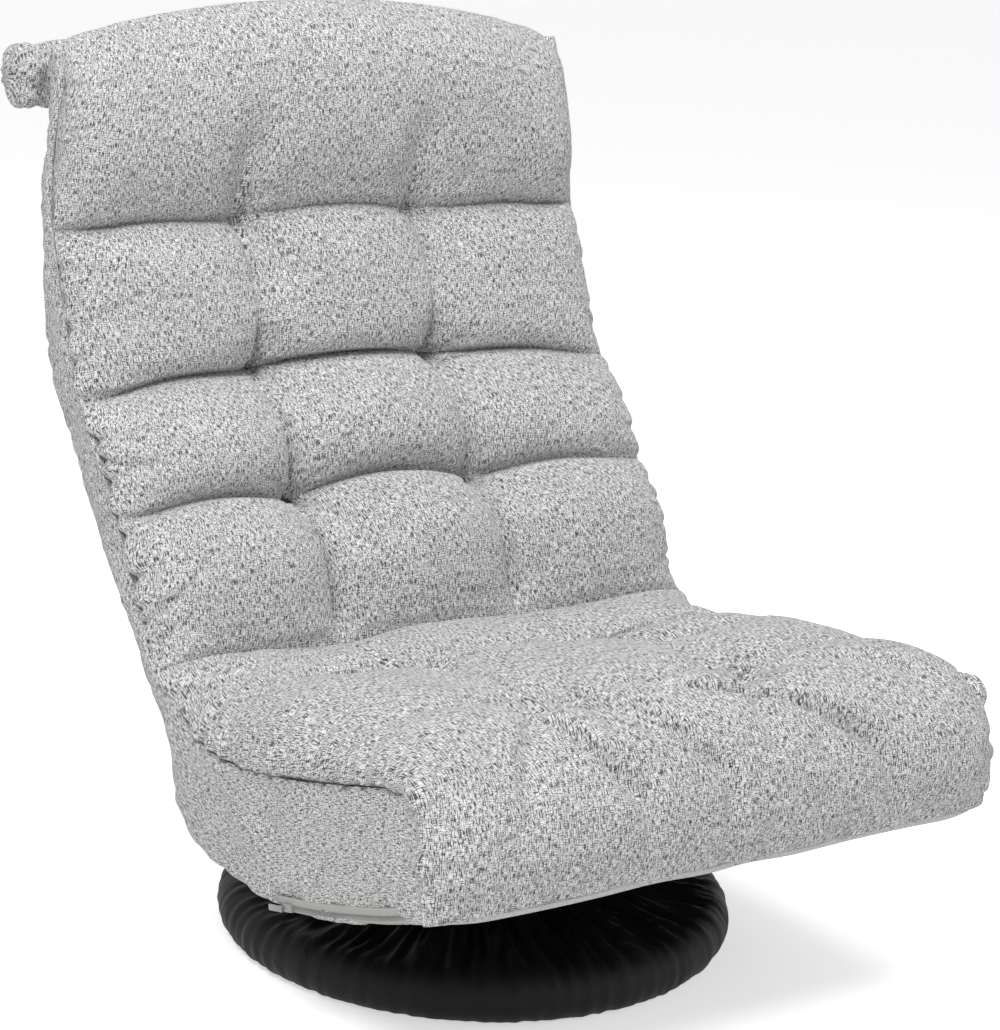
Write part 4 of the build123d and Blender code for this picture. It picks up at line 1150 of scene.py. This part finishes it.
def rounded_block(name, size, centre, turn, bevel):
    """Box with rounded edges, turned about X."""
    bpy.ops.mesh.primitive_cube_add(size=1)
    obj = bpy.context.object
    obj.name = name
    obj.data.name = name
    obj.data.transform(Matrix.Diagonal((*size, 1)))
    soft = obj.modifiers.new("round", "BEVEL")
    soft.width = bevel
    soft.segments = 3
    baked(obj)
    obj.data.transform(Matrix.Translation(centre) @ Matrix.Rotation(turn, 4, "X"))
    obj.data.polygons.foreach_set("use_smooth", [True] * len(obj.data.polygons))
    finish_piece(obj, M_TEETH)
    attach(obj, "seat")
    return obj


def make_slider(place):
    tilt_x = math.radians(-14)
    body = rounded_block("zip_runner", (0.0044, 0.0125, 0.0072), place, tilt_x, 0.0014)
    tab_at = place + np.array([-0.0036, 0.0135, -0.0045])
    rounded_block("zip_pull", (0.0014, 0.0200, 0.0052), tab_at, tilt_x, 0.0006)
    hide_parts("zip_slider")


def make_welts():
    """Scalloped gathered edge at the two front corners."""
    stations = ["seam6", "frontpad", "brow2", "nose", "hem"]
    towards_crest = np.array([0.16, 0.16, 0.22, 0.24, 0.35])[:, None]
    pick = [names.index(n) for n in stations]
    base = seam[pick] + (crest[pick] - seam[pick]) * towards_crest
    at = np.linspace(along[pick[0]] + 0.020, along[pick[-1]] - 0.003, 150)
    line = spline(along[pick], base, at)
    s = travelled(line)
    phase = math.pi * s / 0.0290 + 0.7 * np.sin(s / 0.019)
    grow = np.clip(s / 0.05, 0.1, 1) * np.clip((s[-1] - s) / 0.012, 0.3, 1)
    radius = (0.0042 + 0.0062 * abs(np.sin(phase)) ** 0.7) * grow
    sway = 0.0022 * np.sin(phase * 0.9 + 1.0)
    lead = unit(np.gradient(line, axis=0))
    cross = np.column_stack([-lead[:, 1], lead[:, 0]])
    n, m = len(line), 14
    a = circle(m)
    for side, name in ((-1, "welt_left"), (1, "welt_right")):
        X = side * (SIDE_X + sway[:, None] + radius[:, None] * np.cos(a))
        YZ = line[:, None, :] + cross[:, None, :] * (radius[:, None] * np.sin(a) * side)[:, :, None]
        uvs = np.dstack(np.meshgrid(a * 0.006, s))
        obj = new_mesh(name, np.dstack([X, YZ]), tube_faces(n, m), uvs)
        finish_piece(obj, M_LINEN)
        subdivided(obj)
        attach(obj, "seat")


make_hem_band()
make_zip()
make_welts()


# Base cover: thin cloth drawn over a rounded ring, gathered to the middle


def make_base():
    ring, rim = 0.201, 0.0235
    profile = [(0.187, 0.0006), (ring, 0.0)]
    for a in np.radians(np.linspace(-70, 90, 22)):
        profile.append((ring + rim * math.cos(a), rim + rim * math.sin(a)))
    inner = spline(
        [0, 0.35, 0.7, 1.0],
        np.array([(0.201, 0.047), (0.162, 0.0525), (0.112, 0.062), (0.0735, 0.0805)]),
        np.linspace(0, 1, 34)[1:],
    )
    profile = np.vstack([profile, inner])
    profile[:, 1] = np.maximum(profile[:, 1], 0)
    n, m = len(profile), 420
    A = np.broadcast_to(circle(m), (n, m))
    Rr = np.broadcast_to(profile[:, :1], (n, m))
    length = travelled(profile)
    L = np.broadcast_to(length[:, None], (n, m))
    draw = np.random.default_rng(5)
    fold = np.zeros((n, m))
    for count in (9, 14, 21, 29, 38, 51, 64):
        phase = draw.uniform(0, 2 * math.pi)
        swirl = draw.uniform(-2.5, 2.5)
        fold += np.sin(count * A + phase + swirl * L * 12) * draw.uniform(0.5, 1.0)
    ridge = 1 - np.clip(np.abs(fold / 2.2), 0, 1) ** 0.7
    # low folds round the rim, deep ones over the top
    inside = np.clip((L - 0.070) / 0.03, 0, 1)
    band = np.clip((L - 0.012) / 0.02, 0, 1)
    amount = 0.0013 * band + 0.0056 * inside * np.clip((length[-1] - L) / 0.03, 0.25, 1)
    gather = np.sin(70 * A + 1.3 * np.sin(9 * A)) * np.sin(23 * A + 0.5)
    t = np.gradient(profile, axis=0)
    nrm = unit(np.column_stack([t[:, 1], -t[:, 0]]))
    shift = amount * (ridge - 0.45) + 0.0007 * gather * band * (1 - inside)
    R2 = Rr + nrm[:, :1] * shift
    Z2 = np.maximum(profile[:, 1:2] + nrm[:, 1:2] * shift, 0.0)
    points = np.dstack([R2 * np.cos(A), R2 * np.sin(A), Z2])
    obj = new_mesh("base_sheet", points, ring_faces(n, m), np.dstack([A * 0.2, L]))
    finish_piece(obj, M_NYLON)
    thickened(obj, 0.0008)
    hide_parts("base_cover", "base_sleeve")
    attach(obj, "base")


make_base()


# Rolled bolster behind the top of the headrest

def make_roll():
    centre = np.array(on_head(0.0578, 0.252))
    n, m = 150, 56
    tip, full_radius = 0.284, 0.0295
    x = np.linspace(-tip, tip, n)
    # rounded tips, with a slight waist just inside them
    end = np.clip((tip - abs(x)) / 0.016, 0, 1)
    waist = 1 - 0.14 * np.exp(-(((tip - abs(x)) - 0.026) / 0.007) ** 2)
    radius = full_radius * waist * np.sqrt(np.clip(1 - (1 - end) ** 2, 0.03, 1))
    A, X = np.meshgrid(circle(m), x)
    R = np.broadcast_to(radius[:, None], A.shape)
    near_end = np.exp(-((tip - abs(X)) / 0.05))
    wave = 0.0009 * ripples(X, A * 0.028, 0.05, 41) + 0.0030 * near_end * np.sin(
        9 * A + 2 * np.sin(3 * A)
    )
    R = R + wave * np.clip(R / 0.02, 0, 1)
    points = np.dstack([X, centre[0] + R * np.cos(A), centre[1] + R * np.sin(A)])
    obj = new_mesh("roll_pad", points, tube_faces(n, m, True), np.dstack([X, A * 0.0285]))
    finish_piece(obj, M_LINEN)
    subdivided(obj)
    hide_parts("head_roll")
    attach(obj, "head")


make_roll()


# Floor, light and camera

FLOOR_REACH = 30
# how bright the floor and the backdrop look to the camera, and what the backdrop lights with
FLOOR_GLOW, BACKDROP_SEEN, BACKDROP_LIGHT = 0.56, 0.62, 0.38
# lamp name, place, size, power
LAMPS = [
    ("key", (-2.0, -1.3, 2.9), 0.9, 58),
    ("fill", (1.6, -2.4, 1.5), 1.8, 7),
    ("top", (0.3, -0.2, 3.0), 1.4, 26),
]
LAMP_AIM = (0, 0, 0.35)


def seen_share(tree, amount):
    """An amount for what the camera sees directly or in gloss, and nothing otherwise."""
    rays = add(tree, "ShaderNodeLightPath")
    seen = maths(tree, "MAXIMUM", rays.outputs["Is Camera Ray"], rays.outputs["Is Glossy Ray"])
    return maths(tree, "MULTIPLY", seen, amount)


def make_stage():
    r = FLOOR_REACH
    corners = [(-r, -r, 0), (r, -r, 0), (r, r, 0), (-r, r, 0)]
    floor = new_mesh("floor", corners, [(0, 1, 2, 3)], smooth=False)
    mat, tree, shader = nodes_for("floor_white")
    put(shader, Base_Color=(0.93, 0.93, 0.93, 1), Roughness=0.9, Specular_IOR_Level=0.1)
    glow = add(tree, "ShaderNodeEmission")
    put(glow, Color=(1, 1, 1, 1))
    link(tree, seen_share(tree, FLOOR_GLOW), glow.inputs["Strength"])
    both = add(tree, "ShaderNodeAddShader")
    link(tree, shader.outputs[0], both.inputs[0])
    link(tree, glow.outputs[0], both.inputs[1])
    link(tree, both.outputs[0], tree.nodes["Material Output"].inputs["Surface"])
    floor.data.materials.append(mat)

    studio = bpy.data.worlds.new("studio")
    bpy.context.scene.world = studio
    studio.use_nodes = True
    tree = studio.node_tree
    ground = tree.nodes["Background"]
    put(ground, Color=(1, 1, 1, 1))
    strength = maths(tree, "ADD", seen_share(tree, BACKDROP_SEEN), BACKDROP_LIGHT)
    link(tree, strength, ground.inputs["Strength"])

    for name, place, size, power in LAMPS:
        data = bpy.data.lights.new(name, "AREA")
        data.shape = "DISK"
        data.size = size
        data.energy = power
        obj = bpy.data.objects.new(name, data)
        obj.location = place
        obj.rotation_mode = "QUATERNION"
        obj.rotation_quaternion = (Vector(LAMP_AIM) - Vector(place)).to_track_quat("-Z", "Y")
        bpy.context.scene.collection.objects.link(obj)


CAMERA_AT = (-1.452, -2.007, 1.025)
CAMERA_ANGLES = (36.0, 14.7, 3.1)
SENSOR_WIDTH = 36
# focal length in picture heights
FOCAL_RATIO = 3004 / 1030


def make_camera():
    yaw, pitch, roll = (math.radians(a) for a in CAMERA_ANGLES)
    ahead = Vector(
        (math.sin(yaw) * math.cos(pitch), math.cos(yaw) * math.cos(pitch), -math.sin(pitch))
    )
    right = Vector((math.cos(yaw), -math.sin(yaw), 0))
    up = right.cross(ahead)
    right, up = (
        math.cos(roll) * right + math.sin(roll) * up,
        math.cos(roll) * up - math.sin(roll) * right,
    )
    data = bpy.data.cameras.new("camera")
    data.sensor_width = SENSOR_WIDTH
    data.lens = SENSOR_WIDTH * FOCAL_RATIO
    obj = bpy.data.objects.new("camera", data)
    bpy.context.scene.collection.objects.link(obj)
    turn = Matrix((right, up, -ahead)).transposed().to_4x4()
    obj.matrix_world = Matrix.Translation(CAMERA_AT) @ turn
    bpy.context.scene.camera = obj


make_stage()
make_camera()
bpy.context.scene.view_settings.view_transform = "Standard"
bpy.context.view_layer.update()
